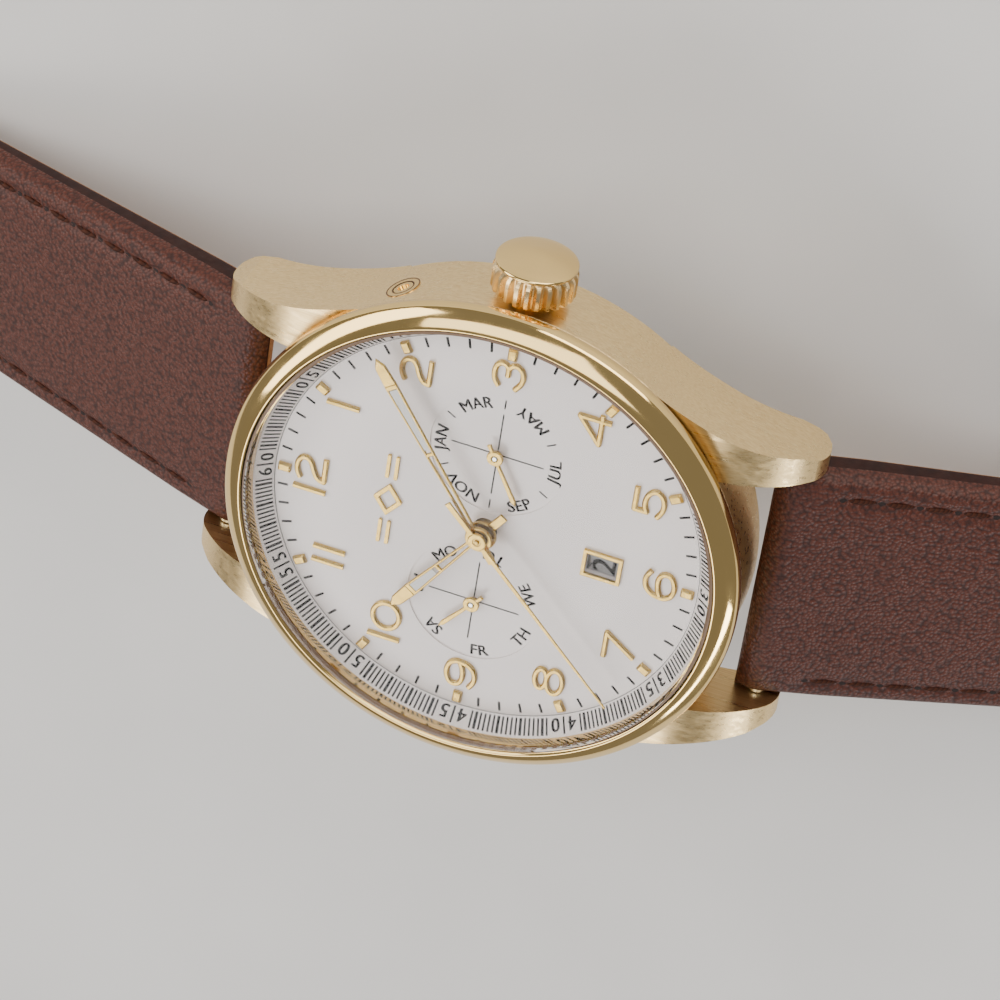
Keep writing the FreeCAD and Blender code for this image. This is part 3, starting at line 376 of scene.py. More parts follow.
def brushed_gold():
    """Fine satin lines along the strap's direction."""
    p = Paint("gold_satin_brushed", GOLD_PALE, 0.3, 1.0)
    lines = p.noise(10, 3, p.stretched(1, 0.008, 1))
    broad = p.noise(3.0, 2, p.stretched(1, 0.01, 1))
    p.colours(lines, (0.32, (0.76, 0.54, 0.25)), (0.68, (0.90, 0.68, 0.35)))
    p.roughness(broad, 0.25, 0.4)
    return p.bump(lines, 0.0012, 0.5).material


def turned_gold():
    """Turned satin for the case back."""
    p = Paint("gold_satin_turned", GOLD_PALE, 0.3, 1.0)
    grooves = p.rings(3.2, distortion=0.6)
    p.colours(grooves, (0.2, (0.83, 0.59, 0.29)), (0.8, (0.91, 0.68, 0.36)))
    p.roughness(p.noise(0.8, 5), 0.22, 0.36)
    return p.bump(grooves, 0.003, 0.7).material


def applied_gold():
    """Diamond-cut furniture on the dial: numerals, markers, hands and frames."""
    p = Paint("gold_applied_cut", GOLD, 0.3, 1.0)
    lines = p.noise(12, 2, p.stretched(1, 0.1, 1))
    p.colours(lines, (0.2, GOLD_DEEP), (0.8, (0.68, 0.47, 0.13)))
    p.roughness(p.noise(2.5), 0.26, 0.38)
    return p.bump(lines, 0.0015).material


def steel(name, colour, low, high):
    p = Paint(name, colour, low, 1.0)
    lines = p.noise(9, 3, p.stretched(1, 0.1, 1))
    p.roughness(lines, low, high)
    return p.bump(lines, 0.001).material


def rhodium():
    """Plated bridges with broad straight stripes."""
    p = Paint("rhodium_striped", (0.74, 0.74, 0.73), 0.2, 1.0)
    stripes = p.stripes(0.16)
    p.colours(stripes, (0.0, (0.60, 0.60, 0.60)), (1.0, (0.83, 0.82, 0.80)))
    p.roughness(p.noise(6), 0.15, 0.28)
    return p.bump(stripes, 0.012).bump(p.noise(16, 2, p.stretched(1, 0.2, 1)), 0.001).material


def gilt_brass():
    p = Paint("brass_gilt_circled", (0.80, 0.58, 0.25), 0.25, 1.0)
    p.colours(p.noise(1.5), (0.3, (0.72, 0.50, 0.20)), (0.7, (0.86, 0.66, 0.32)))
    p.roughness(p.noise(4), 0.18, 0.32)
    return p.bump(p.rings(5.0), 0.0015).material


def dial_lacquer(name, grain, colour):
    """Silver-cream satin lacquer with a barely visible grain."""
    p = Paint(name, colour, 0.42, 0.12)
    light = tuple(min(1.0, c * 1.035) for c in colour)
    p.colours(p.noise(0.12, 5), (0.3, colour), (0.75, light))
    p.roughness(p.noise(7, 3), 0.38, 0.5)
    return p.bump(grain(p), 0.0012).material


def leather():
    """Brown calf with a fine pebbled grain; its colour carries painted shade in the pits and
    painted highlight on the pebble tops, over the grain's own brown.
    """
    p = Paint("leather_brown_pebbled", (0.1, 0.035, 0.022), 0.5)
    warp = p.noise(0.5, 2)
    shift = p.node("VectorMath", {0: warp, "Scale": 0.35 * MM}, operation="SCALE")
    bent = p.node("VectorMath", {0: p.place, 1: shift.outputs["Vector"]},
                  operation="ADD").outputs["Vector"]
    pebbles = p.cells(3.4, bent)
    pores = p.noise(6.5, 4)
    patches = p.noise(0.3, 4)
    # Painted light and shade: the pebble tops are coloured lighter and the pits between them
    # darker, over the leather's own tone.
    p.colours(pebbles, (0.15, (0.090, 0.0210, 0.0105)), (0.5, (0.062, 0.0137, 0.0068)),
              (0.8, (0.028, 0.0058, 0.0032)))
    p.roughness(pebbles, 0.36, 0.56, 0.1, 0.8)
    p.set(("Specular IOR Level", 0.38))
    return p.bump(pebbles, -0.085).bump(pores, 0.02).bump(patches, 0.06).material


def edge_paint():
    """Glossy sealed edge of the leather."""
    p = Paint("leather_edge_paint", (0.025, 0.008, 0.006), 0.28)
    p.colours(p.noise(0.8, 4), (0.3, (0.018, 0.006, 0.005)), (0.75, (0.034, 0.011, 0.008)))
    p.roughness(p.noise(1.5, 4), 0.4, 0.55)
    p.set(("Specular IOR Level", 0.15))
    return p.bump(p.noise(1.2, 5), 0.03).material


def lining():
    p = Paint("leather_lining_tan", (0.34, 0.17, 0.08), 0.7)
    fibres = p.noise(3.5, 6)
    p.colours(fibres, (0.3, (0.27, 0.125, 0.055)), (0.7, (0.40, 0.21, 0.105)))
    p.roughness(p.noise(0.5), 0.6, 0.8)
    return p.bump(p.cells(3.8), -0.03).bump(fibres, 0.03).material


def thread():
    p = Paint("thread_rust_twisted", (0.16, 0.05, 0.022), 0.65)
    twist = p.stripes(1.3)
    p.colours(twist, (0.0, (0.016, 0.005, 0.003)), (0.8, (0.060, 0.017, 0.008)))
    p.roughness(p.noise(4), 0.5, 0.75)
    p.set(("Specular IOR Level", 0.15))
    return p.bump(twist, 0.03).material


def plain(name, colour, low, high, per_mm=1.0, depth=0.004, specular=0.5):
    """A moulded, printed or painted surface: slight mottling, uneven gloss and a fine texture."""
    p = Paint(name, colour, low).set(("Specular IOR Level", specular))
    dark = tuple(c * 0.86 for c in colour)
    mottle = p.noise(per_mm, 4)
    p.colours(mottle, (0.3, dark), (0.7, colour))
    p.roughness(p.noise(per_mm * 3, 3), low, high)
    return p.bump(mottle, depth).material


def crystal():
    """Coated glass: what reflects grows towards grazing angles, and the rest shows through."""
    p = Paint("crystal_coated", (1.0, 1.0, 1.0), 0.015, 1.0)
    fresnel = p.node("Fresnel", {"IOR": 1.16})
    p.tree.links.new(fresnel.outputs["Fac"], p.shader.inputs["Alpha"])
    return p.bump(p.noise(0.05, 1), 0.0002).material


def ruby():
    p = Paint("ruby_polished", (0.55, 0.02, 0.08), 0.06)
    p.colours(p.noise(4), (0.3, (0.42, 0.01, 0.06)), (0.7, (0.68, 0.04, 0.12)))
    p.set(("Coat Weight", 0.6), ("IOR", 1.76))
    return p.bump(p.noise(8), 0.001).material


MATERIALS = {
    "gold_polished": polished_gold(),
    "gold_brushed": brushed_gold(),
    "gold_turned": turned_gold(),
    "gold_applied": applied_gold(),
    "crystal_clear": crystal(),
    "gasket_black": plain("rubber_gasket", (0.02, 0.02, 0.02), 0.5, 0.7),
    "gasket_clear": plain("nylon_gasket", (0.20, 0.12, 0.07), 0.35, 0.5),
    "dial_silver": dial_lacquer("dial_lacquer", lambda p: p.noise(22, 2), (0.86, 0.805, 0.79)),
    "sub_dial": dial_lacquer("sub_dial_turned", lambda p: p.rings(4.0, (SUB_X, 0)),
                             (0.875, 0.82, 0.805)),
    "sub_dial_left": dial_lacquer("sub_dial_turned_left", lambda p: p.rings(4.0, (-SUB_X, 0)),
                                  (0.875, 0.82, 0.805)),
    # Painted shade: the white date disc is coloured mid grey for the shade it lies in under the
    # dial's window.
    "date_white": plain("date_disc_painted_shade", (0.30, 0.30, 0.31), 0.4, 0.55),
    "lume_white": plain("luminous_paint", (0.86, 0.86, 0.84), 0.6, 0.8, 5.0, 0.01),
    "ink_black": plain("printed_ink", (0.008, 0.008, 0.009), 0.75, 0.9, 6.0, 0.001, specular=0.04),
    "rhodium": rhodium(),
    "brass_wheel": gilt_brass(),
    "steel_polished": steel("steel_polished_fine", (0.66, 0.67, 0.69), 0.1, 0.24),
    "blued_steel": steel("steel_blued", (0.05, 0.10, 0.36), 0.1, 0.2),
    "ruby": ruby(),
    "holder_grey": plain("moulded_holder", (0.36, 0.37, 0.39), 0.45, 0.6, 2.0, 0.01),
    "leather_brown": leather(),
    "edge_paint": edge_paint(),
    "lining": lining(),
    "thread": thread(),
    "gap_shadow": plain("shadowed_gap", (0.10, 0.045, 0.02), 0.5, 0.7, 2.0),
    # Painted shade: near black for the flat marks that stand in for the shaded needle holes.
    "needle_hole": plain("needle_hole", (0.012, 0.005, 0.004), 0.8, 0.95, 4.0),
}


# ---- carried-over CAD nodes ----
def dress_nodes():
    """Each CAD node takes the material of its slot; a few differ."""
    special = {"case_back_ring": "gold_turned"}
    for entry in frame["record"]["subparts"]:
        node = frame["nodes"][entry["node"]]
        material = MATERIALS[special.get(entry["node"], entry["material_slot"])]
        for holder in node.material_slots:
            holder.material = material


def soften(node, width):
    """Rounds a CAD node's sharp edges, so that they catch the light."""
    piece = frame["nodes"][node]
    weld = piece.modifiers.new("weld", "WELD")
    weld.merge_threshold = 0.0005 * MM
    bevel = piece.modifiers.new("edges", "BEVEL")
    bevel.width = width * MM
    bevel.segments = 2
    bevel.limit_method = "ANGLE"
    bevel.angle_limit = math.radians(38)
    bevel.harden_normals = True


# ---- bezel ----
def make_bezel():
    """The polished ring: a broad convex shoulder, a thin foot and a stepped inside."""
    top = DIAL_Z
    outside = smoothed([
        (20.78, top + 0.64), (20.95, top + 0.92), (BEZEL_R, top + 1.3),
        (20.93, top + 1.66), (20.75, top + 1.95), (20.2, top + 2.42),
        (19.75, top + 2.68), (19.4, BEZEL_HIGH.z)])
    inside = [
        (19.3, top + 2.78), (19.17, top + 2.66), (19.15, top + 2.2), (18.78, top + 2.2),
        (18.78, top + 1.22), (18.95, top + 1.22), (18.95, top + 0.32), (20.5, top + 0.32),
        (20.52, top + 0.5), (20.6, top + 0.6)]
    shape = Shape()
    turned(shape, outside + inside, steps=256)
    bezel = shape.piece("bezel_ring", "case", "gold_polished")
    split_hard_edges(bezel, 40)
    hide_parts("bezel")


def make_crown():
    """A smooth dome over a shoulder that the flutes cut into pointed arches."""
    low, high = low_high("crown")
    axis_z = (low.z + high.z) / 2
    tip = (high.z - low.z) / 2
    groove = tip - 0.45
    flutes = 24
    tooth = ((0.0, 0.0), (0.07, 0.0), (0.33, 1.0), (0.67, 1.0), (0.93, 0.0))
    rim_x = low.x + 2.3
    shoulder = [
        (low.x, tip - 0.14), (low.x + 0.08, tip - 0.04), (low.x + 0.2, tip),
        (rim_x - 0.62, tip), (rim_x - 0.5, tip - 0.04), (rim_x - 0.36, tip - 0.13),
        (rim_x - 0.22, tip - 0.25), (rim_x - 0.12, tip - 0.34), (rim_x - 0.06, tip - 0.36)]
    dome = smoothed([
        (rim_x - 0.03, tip - 0.3), (rim_x + 0.02, tip - 0.16),
        (rim_x + 0.14, tip - 0.1), (rim_x + 0.28, tip - 0.16),
        (rim_x + 0.4, tip - 0.42), (rim_x + 0.56, tip - 0.95),
        (rim_x + 0.74, 1.5), (high.x - 0.02, 0.7), (high.x, 0.02)], 4)
    rings = shoulder + dome
    around = [(2 * math.pi * (i + share) / flutes, groove + (tip - groove) * rise)
              for i in range(flutes) for share, rise in tooth]
    count = len(around)
    vertices = []
    for order, (x, blank) in enumerate(rings):
        for a, cut_r in around:
            r = min(blank, cut_r) if order < len(shoulder) else blank
            vertices.append((x, r * math.cos(a), axis_z + r * math.sin(a)))
    faces = bands(len(rings), count)
    vertices += [(x, r * math.cos(a), axis_z + r * math.sin(a))
                 for x, r in ((low.x, 1.8), (low.x + 1.25, 1.8), (low.x + 1.25, 0.02))
                 for a, _ in around]
    rows = [0, len(rings), len(rings) + 1, len(rings) + 2]
    for a, b in zip(rows, rows[1:]):
        faces += [(a * count + (i + 1) % count, a * count + i, b * count + i,
                   b * count + (i + 1) % count) for i in range(count)]
    shape = Shape()
    shape.add(vertices, faces)
    fluted = (len(shoulder) - 1) * count
    shape.slots[:fluted] = [1] * fluted
    crown = shape.piece("crown_fluted", "crown_group", "gold_polished", "gold_polished",
                        "gold_turned")
    split_hard_edges(crown, 24)
    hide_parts("crown")


def make_corrector_lines():
    """Painted shade: dark hairlines on the sleeve's end face, at its rim and round the pusher's
    bore, standing in for the shade in the gaps there.
    """
    shape = Shape()
    low, high = low_high("corrector_sleeve")
    middle = (low + high) / 2
    turn = math.atan2(middle.y, middle.x)
    radius = (high.z - low.z) / 2
    face = (high.x - radius * math.sin(turn)) / math.cos(turn) + INK_T
    steps = 48
    for r0, r1 in ((radius - 0.1, radius), (CORRECTOR_BORE_R, CORRECTOR_BORE_R + 0.08)):
        vertices = []
        for r in (r0, r1):
            for i in range(steps):
                a = 2 * math.pi * i / steps
                across = r * math.cos(a)
                vertices.append((face * math.cos(turn) - across * math.sin(turn),
                                 face * math.sin(turn) + across * math.cos(turn),
                                 middle.z + r * math.sin(a)))
        shape.add(vertices, [(i, steps + i, steps + (i + 1) % steps, (i + 1) % steps)
                             for i in range(steps)])
    thicken(shape.piece("corrector_gap_shade", "case", "gold_brushed", "gap_shadow"))


def split_hard_edges(piece, degrees):
    """Keeps the corners sharper than this angle crisp in the shading."""
    modifier = piece.modifiers.new("hard_edges", "EDGE_SPLIT")
    modifier.split_angle = math.radians(degrees)


# ---- dial printing ----
def tick(shape, degrees, r0, r1, width, centre=(0.0, 0.0), z=DIAL_Z):
    base = spun([(-width / 2, r0), (width / 2, r0), (width / 2, r1), (-width / 2, r1)],
                degrees, centre)
    height = z + INK_LIFT
    low = [(x, y, height) for x, y in base]
    high = [(x, y, height + INK_T) for x, y in base]
    shape.add(low + high, [(0, 3, 2, 1), (4, 5, 6, 7), (0, 1, 5, 4), (1, 2, 6, 5), (2, 3, 7, 6),
                           (3, 0, 4, 7)])


def arc_text(shape, text, height, r, degrees, centre, tops_out, z):
    """Printing bent round a circle, its tops away from the centre or towards it."""
    flat, faces = glyphs(text, height)
    level = z + INK_LIFT + INK_T
    way = 1 if tops_out else -1
    vertices = []
    for x, y in flat:
        reach = r + way * y
        vertices.append((*clock(reach, degrees + way * math.degrees(x / r), centre), level))
    shape.add(vertices, faces)


def on_slope(degrees, share, lift=0.012):
    """A point of the sloping scale ring, share of the way up it."""
    r = SCALE_FOOT[0] + (SCALE_TOP[0] - SCALE_FOOT[0]) * share
    z = SCALE_FOOT[1] + (SCALE_TOP[1] - SCALE_FOOT[1]) * share
    slope = math.atan2(SCALE_TOP[1] - SCALE_FOOT[1], SCALE_TOP[0] - SCALE_FOOT[0])
    return (*clock(r - lift * math.sin(slope), degrees), z + lift * math.cos(slope))


def slope_tick(shape, degrees, width):
    spread = math.degrees(width / 2 / SCALE_TOP[0])
    corners = [(degrees - spread, 0.1), (degrees + spread, 0.1), (degrees + spread, 0.9),
               (degrees - spread, 0.9)]
    shape.add([on_slope(a, s) for a, s in corners], [(0, 1, 2, 3)])


def print_scale():
    """Fifths of a second, a heavier stroke each second, and figures each side of every fifth."""
    shape = Shape()
    slope_length = math.hypot(SCALE_TOP[0] - SCALE_FOOT[0], SCALE_TOP[1] - SCALE_FOOT[1])
    for fifth in range(300):
        second = fifth / 5
        away = min(second % 5, 5 - second % 5)
        if away == 0:
            slope_tick(shape, second * 6, 0.17)
        elif away > 0.75:
            slope_tick(shape, second * 6, 0.24 if fifth % 5 == 0 else 0.16)
    for place in range(12):
        value = f"{place * 5 or 60:02d}"
        for character, side in zip(value, (-1, 1)):
            flat, faces = glyphs(character, 1.15, 0.045)
            middle = place * 30 + side * 2.35
            vertices = []
            for x, y in flat:
                share = 0.47 + y / slope_length
                vertices.append(on_slope(middle + math.degrees(x / SCALE_TOP[0]), share))
            shape.add(vertices, faces)
    thicken(shape.piece("scale_print", "case", "dial_silver", "ink_black", smooth=False))


def thicken(piece):
    """Gives flat printing the thickness of its ink."""
    solid = piece.modifiers.new("ink", "SOLIDIFY")
    solid.thickness = INK_T * MM
    solid.offset = -1


def print_dial():
    shape = Shape()
    for minute in range(60):
        if minute % 5:
            tick(shape, minute * 6, TICK_IN, TICK_OUT, 0.2)
    foot, z = SCALE_FOOT[0] + 0.03, DIAL_Z + 0.05
    turned(shape, [(foot - 0.06, z), (foot + 0.06, z), (foot + 0.06, z + INK_T),
                   (foot - 0.06, z + INK_T)], steps=256)
    for side in (-1, 1):
        for quarter in range(4):
            tick(shape, quarter * 90, 0.4, 3.75, 0.11, (side * SUB_X, 0), SUB_Z)
    for step in range(1, 12, 2):
        tick(shape, step * 30, 4.3, 5.1, 0.12, (SUB_X, 0), SUB_Z)
    shape.piece("dial_print", "case", "dial_silver", "ink_black", smooth=False)

    labels = Shape()
    names = (("JAN", "MAR", "MAY", "JUL", "SEP", "NOV"),
             ("SU", "MO", "TU", "WE", "TH", "FR", "SA"))
    for side, words in zip((1, -1), names):
        step = 360 / len(words)
        for i, word in enumerate(words):
            upper = math.cos(math.radians(i * step)) > -0.1
            arc_text(labels, word, 1.0, 4.68, i * step, (side * SUB_X, 0), upper, SUB_Z)
    thicken(labels.piece("sub_dial_labels", "case", "dial_silver", "ink_black", smooth=False))

    for side, name in ((1, "sub_dial"), (-1, "sub_dial_left")):
        zone = Shape()
        profile = [(ZONE_R, SUB_Z), (SUB_R - 0.02, SUB_Z), (SUB_R - 0.02, SUB_Z + 0.003),
                   (ZONE_R, SUB_Z + 0.003)]
        turned(zone, profile, (side * SUB_X, 0), 128)
        zone.piece(f"{name}_zone", "case", "dial_silver", name, smooth=False)


def print_dates():
    """Upright figures for the window at 6, counted so that the disc turns clockwise."""
    shape = Shape()
    top = low_high("date_disc")[1].z + INK_T + INK_LIFT
    shown = 2
    for date in range(1, 32):
        flat, faces = glyphs(str(date), 1.95, 0.06)
        narrow = 0.75 if date > 9 else 1.0
        turn = 1.8 - (date - shown) * 360 / 31
        placed = spun([(x * narrow, y - 9.65) for x, y in flat], turn)
        shape.add([(x, y, top) for x, y in placed], faces)
    thicken(shape.piece("date_figures", "date", "date_white", "ink_black", smooth=False))


# ---- numerals ----
# Middle lines of each digit's strokes; a stroke that comes back to its start is closed.
def oval(y, half_width, half_height):
    return [(half_width * x, y + half_height * z) for x, z in arc(0, 0, 1, 0, 351)]


DIGITS = {
    "0": [(True, oval(0, 1.22, 1.1))],
    "1": [(False, [(0, -1.34), (0, 1.34)])],
    "2": [(False, smoothed([(-1.06, 0.86), (-0.6, 1.12), (-0.1, 1.22), (0.4, 1.18), (0.8, 0.95),
        (0.92, 0.62), (0.8, 0.3), (0.45, 0.05), (0, -0.12), (-0.5, -0.35),
        (-0.82, -0.65), (-0.93, -1.06)], 3)),
          (False, [(-0.93, -1.06), (1.22, -1.06)])],
    "3": [(False, smoothed([(-1.22, 0.74), (-0.7, 1.1), (-0.05, 1.2), (0.55, 1.1), (0.9, 0.75),
        (0.82, 0.35), (0.5, 0.14), (-0.2, 0.13)], 3)),
          (False, smoothed([(0.5, 0.14), (0.85, -0.15), (0.92, -0.55), (0.6, -0.95),
        (0.05, -1.1), (-0.5, -1.0), (-0.85, -0.8), (-1.22, -0.54)], 3))],
    "4": [(False, [(0.86, -1.26), (0.86, 1.28)]), (False, [(0.86, 1.28), (-1.28, -0.5)]),
          (False, [(-1.28, -0.5), (1.42, -0.5)])],
    "5": [(False, [(1.2, 1.1), (-0.88, 1.1)]), (False, [(-0.88, 1.1), (-0.88, 0.1)]),
          (False, smoothed([(-0.88, 0.1), (-0.45, 0.28), (0.1, 0.33), (0.7, 0.17), (1.1, -0.2),
        (1.12, -0.6), (0.75, -1.02), (0.1, -1.17), (-0.5, -1.08),
        (-1.14, -0.74)], 3))],
    "6": [(False, smoothed([(1.14, 0.82), (0.6, 1.13), (0.05, 1.2), (-0.5, 1.05), (-0.95, 0.6),
        (-1.1, 0), (-1.08, -0.5), (-0.75, -0.95), (-0.2, -1.14), (0.4, -1.1),
        (0.95, -0.85), (1.15, -0.45), (1.0, -0.05), (0.6, 0.17), (0.1, 0.2)],
        3)),
          (False, smoothed([(0.1, 0.2), (-0.5, 0.1), (-0.98, -0.12)], 3))],
    "7": [(False, [(-1.25, 1.1), (1.05, 1.1)]), (False, [(1.05, 1.1), (-0.66, -1.3)])],
    "8": [(True, oval(0.65, 0.93, 0.48)), (True, oval(-0.48, 1.12, 0.65))],
}
DIGIT_CORNERS = {"2": [(-0.93, -1.06)], "4": [(0.86, 1.28), (-1.28, -0.5)],
                 "5": [(-0.88, 1.1), (-0.88, 0.1)], "7": [(1.05, 1.1)]}
DIGIT_PLACES = [
    ("1", 7.33, 12.61), ("2", 12.55, 7.2), ("3", 14.75, 0), ("4", 12.3, -7.2),
    ("5", 7.2, -12.4), ("6", 0, -14.4), ("7", -7.0, -12.1), ("8", -12.28, -7.07),
    ("9", -14.3, 0.06), ("1", -13.14, 6.74), ("0", -11.07, 6.76), ("1", -7.77, 12.12),
    ("1", -6.49, 12.12), ("1", -1.38, 14.41), ("2", 0.59, 14.39),
]


def digit_strokes(character):
    if character == "9":
        return [(closed, spun(path, 180)) for closed, path in DIGITS["6"]]
    return DIGITS[character]


def make_numerals():
    """Raised digits with bevelled shoulders; rounded studs fill the corners between strokes."""
    shape = Shape()
    half, bevel = DIGIT_STROKE / 2, 0.12
    for character, x, y in DIGIT_PLACES:
        for order, (closed, path) in enumerate(digit_strokes(character)):
            placed = [(x + px, y + py) for px, py in path]
            height = DIGIT_HEIGHT - 0.004 * order
            ribbon(shape, placed, DIGIT_STROKE, DIAL_Z, height, bevel, closed)
        for px, py in DIGIT_CORNERS.get(character, []):
            turned(shape, [(0.001, DIAL_Z), (half, DIAL_Z), (half, DIAL_Z + DIGIT_HEIGHT - bevel),
                           (half - bevel, DIAL_Z + DIGIT_HEIGHT - 0.012),
                           (0.001, DIAL_Z + DIGIT_HEIGHT - 0.012)], (x + px, y + py), 16)
    piece = shape.piece("numerals_applied", "case", "gold_applied", smooth=False)
    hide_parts("hour_numerals")


# ---- hands ----
def rail_hand(name, node, body, length, width, crossbar, tail, hub_r, bore, z, angle, pipe_low):
    """A skeleton hand: two bevelled rails, a crossbar, a solid pointed tip, a hub and a tail."""
    shape = Shape()
    shoulder = length - 2.5
    rail = 0.2
    half = width / 2 - rail / 2
    neck = width / 4
    for side in (-1, 1):
        path = [(side * neck * 0.6, hub_r * 0.7), (side * half, shoulder)]
        ribbon(shape, spun(path, angle), rail, z, HAND_T, 0.06)
    for y, gap in ((crossbar, 0.3), (shoulder - 0.15, 0.42)):
        reach = neck * 0.6 + (half - neck * 0.6) * (y / shoulder)
        ribbon(shape, spun([(-reach, y), (reach, y)], angle), gap, z, HAND_T - 0.006, 0.06)
    tip = [(-width / 2, shoulder), (width / 2, shoulder), (width * 0.42, length - 0.75),
           (0.0, length), (-width * 0.42, length - 0.75)]
    slab(shape, spun(tip, angle), z, HAND_T - 0.003, 0.08)
    ribbon(shape, spun([(0, -tail), (0, -hub_r * 0.7)], angle), width * 0.62, z, HAND_T, 0.07)
    turned(shape, [(bore, z), (hub_r, z), (hub_r, z + HAND_T - 0.06),
                   (hub_r - 0.07, z + HAND_T + 0.02), (bore + 0.12, z + HAND_T + 0.02),
                   (bore, z + HAND_T - 0.04)], steps=64)
    pipe_r = bore + 0.28
    turned(shape, [(bore, pipe_low), (pipe_r, pipe_low), (pipe_r, z), (bore, z)], steps=64)
    piece = shape.piece(name, body, "gold_applied", smooth=False)
    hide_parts(node)


def make_hands():
    rail_hand("hour_hand_rails", "hour_hand", "hour", 11.2, 1.15, 5.2, 2.8, 1.25, 0.55,
              HOUR_HAND_Z, HOUR_ANGLE, DIAL_Z - 0.75)
    rail_hand("minute_hand_rails", "minute_hand", "minute", 16.9, 1.1, 8.0, 2.3, 1.1, 0.22,
              MINUTE_HAND_Z, MINUTE_ANGLE, DIAL_Z - 0.8)

    shape = Shape()
    top = 0.12
    needle = [(-0.19, 0.5), (0.19, 0.5), (0.085, 17.0), (-0.085, 17.0)]
    slab(shape, spun(needle, SECOND_ANGLE), SECOND_HAND_Z, top, 0.035)
    tail = [(-0.27, -3.9), (0.27, -3.9), (0.2, 0.5), (-0.2, 0.5)]
    slab(shape, spun(tail, SECOND_ANGLE), SECOND_HAND_Z, top - 0.003, 0.05)
    z = SECOND_HAND_Z
    turned(shape, [(0.01, z - 0.04), (0.75, z - 0.04), (0.75, z + 0.12), (0.68, z + 0.18),
                   (0.36, z + 0.18), (0.3, z + 0.12), (0.22, z + 0.12), (0.2, z + 0.24),
                   (0.12, z + 0.26), (0.01, z + 0.26)], steps=64)
    piece = shape.piece("seconds_hand_cut", "seconds", "gold_applied", smooth=False)
    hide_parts("seconds_hand")


def calendar_hand(node, body, side, length, angle):
    """A slim tapered pointer with a counterweight and a ringed hub."""
    low, high = low_high(node)
    z, t = low.z, high.z - low.z - 0.04
    centre = (side * SUB_X, 0)
    shape = Shape()
    pointer = [(-0.13, 0.3), (0.13, 0.3), (0.2, length - 0.5), (0, length), (-0.2, length - 0.5)]
    slab(shape, spun(pointer, angle, centre), z, t, 0.05)
    tail = [(-0.17, -1.25), (0.17, -1.25), (0.12, -0.3), (-0.12, -0.3)]
    slab(shape, spun(tail, angle, centre), z, t - 0.003, 0.05)
    turned(shape, [(0.24, z), (0.66, z), (0.66, z + t - 0.04), (0.6, z + t + 0.03),
                   (0.3, z + t + 0.03), (0.24, z + t - 0.03)], centre, 48)
    turned(shape, [(0.005, z + 0.01), (0.22, z + 0.01), (0.22, z + t - 0.02), (0.16, z + t + 0.04),
                   (0.005, z + t + 0.04)], centre, 32, slot=1)
    piece = shape.piece(f"{node}_cut", body, "gold_applied", "gold_applied",
                        "steel_polished", smooth=False)
    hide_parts(node)


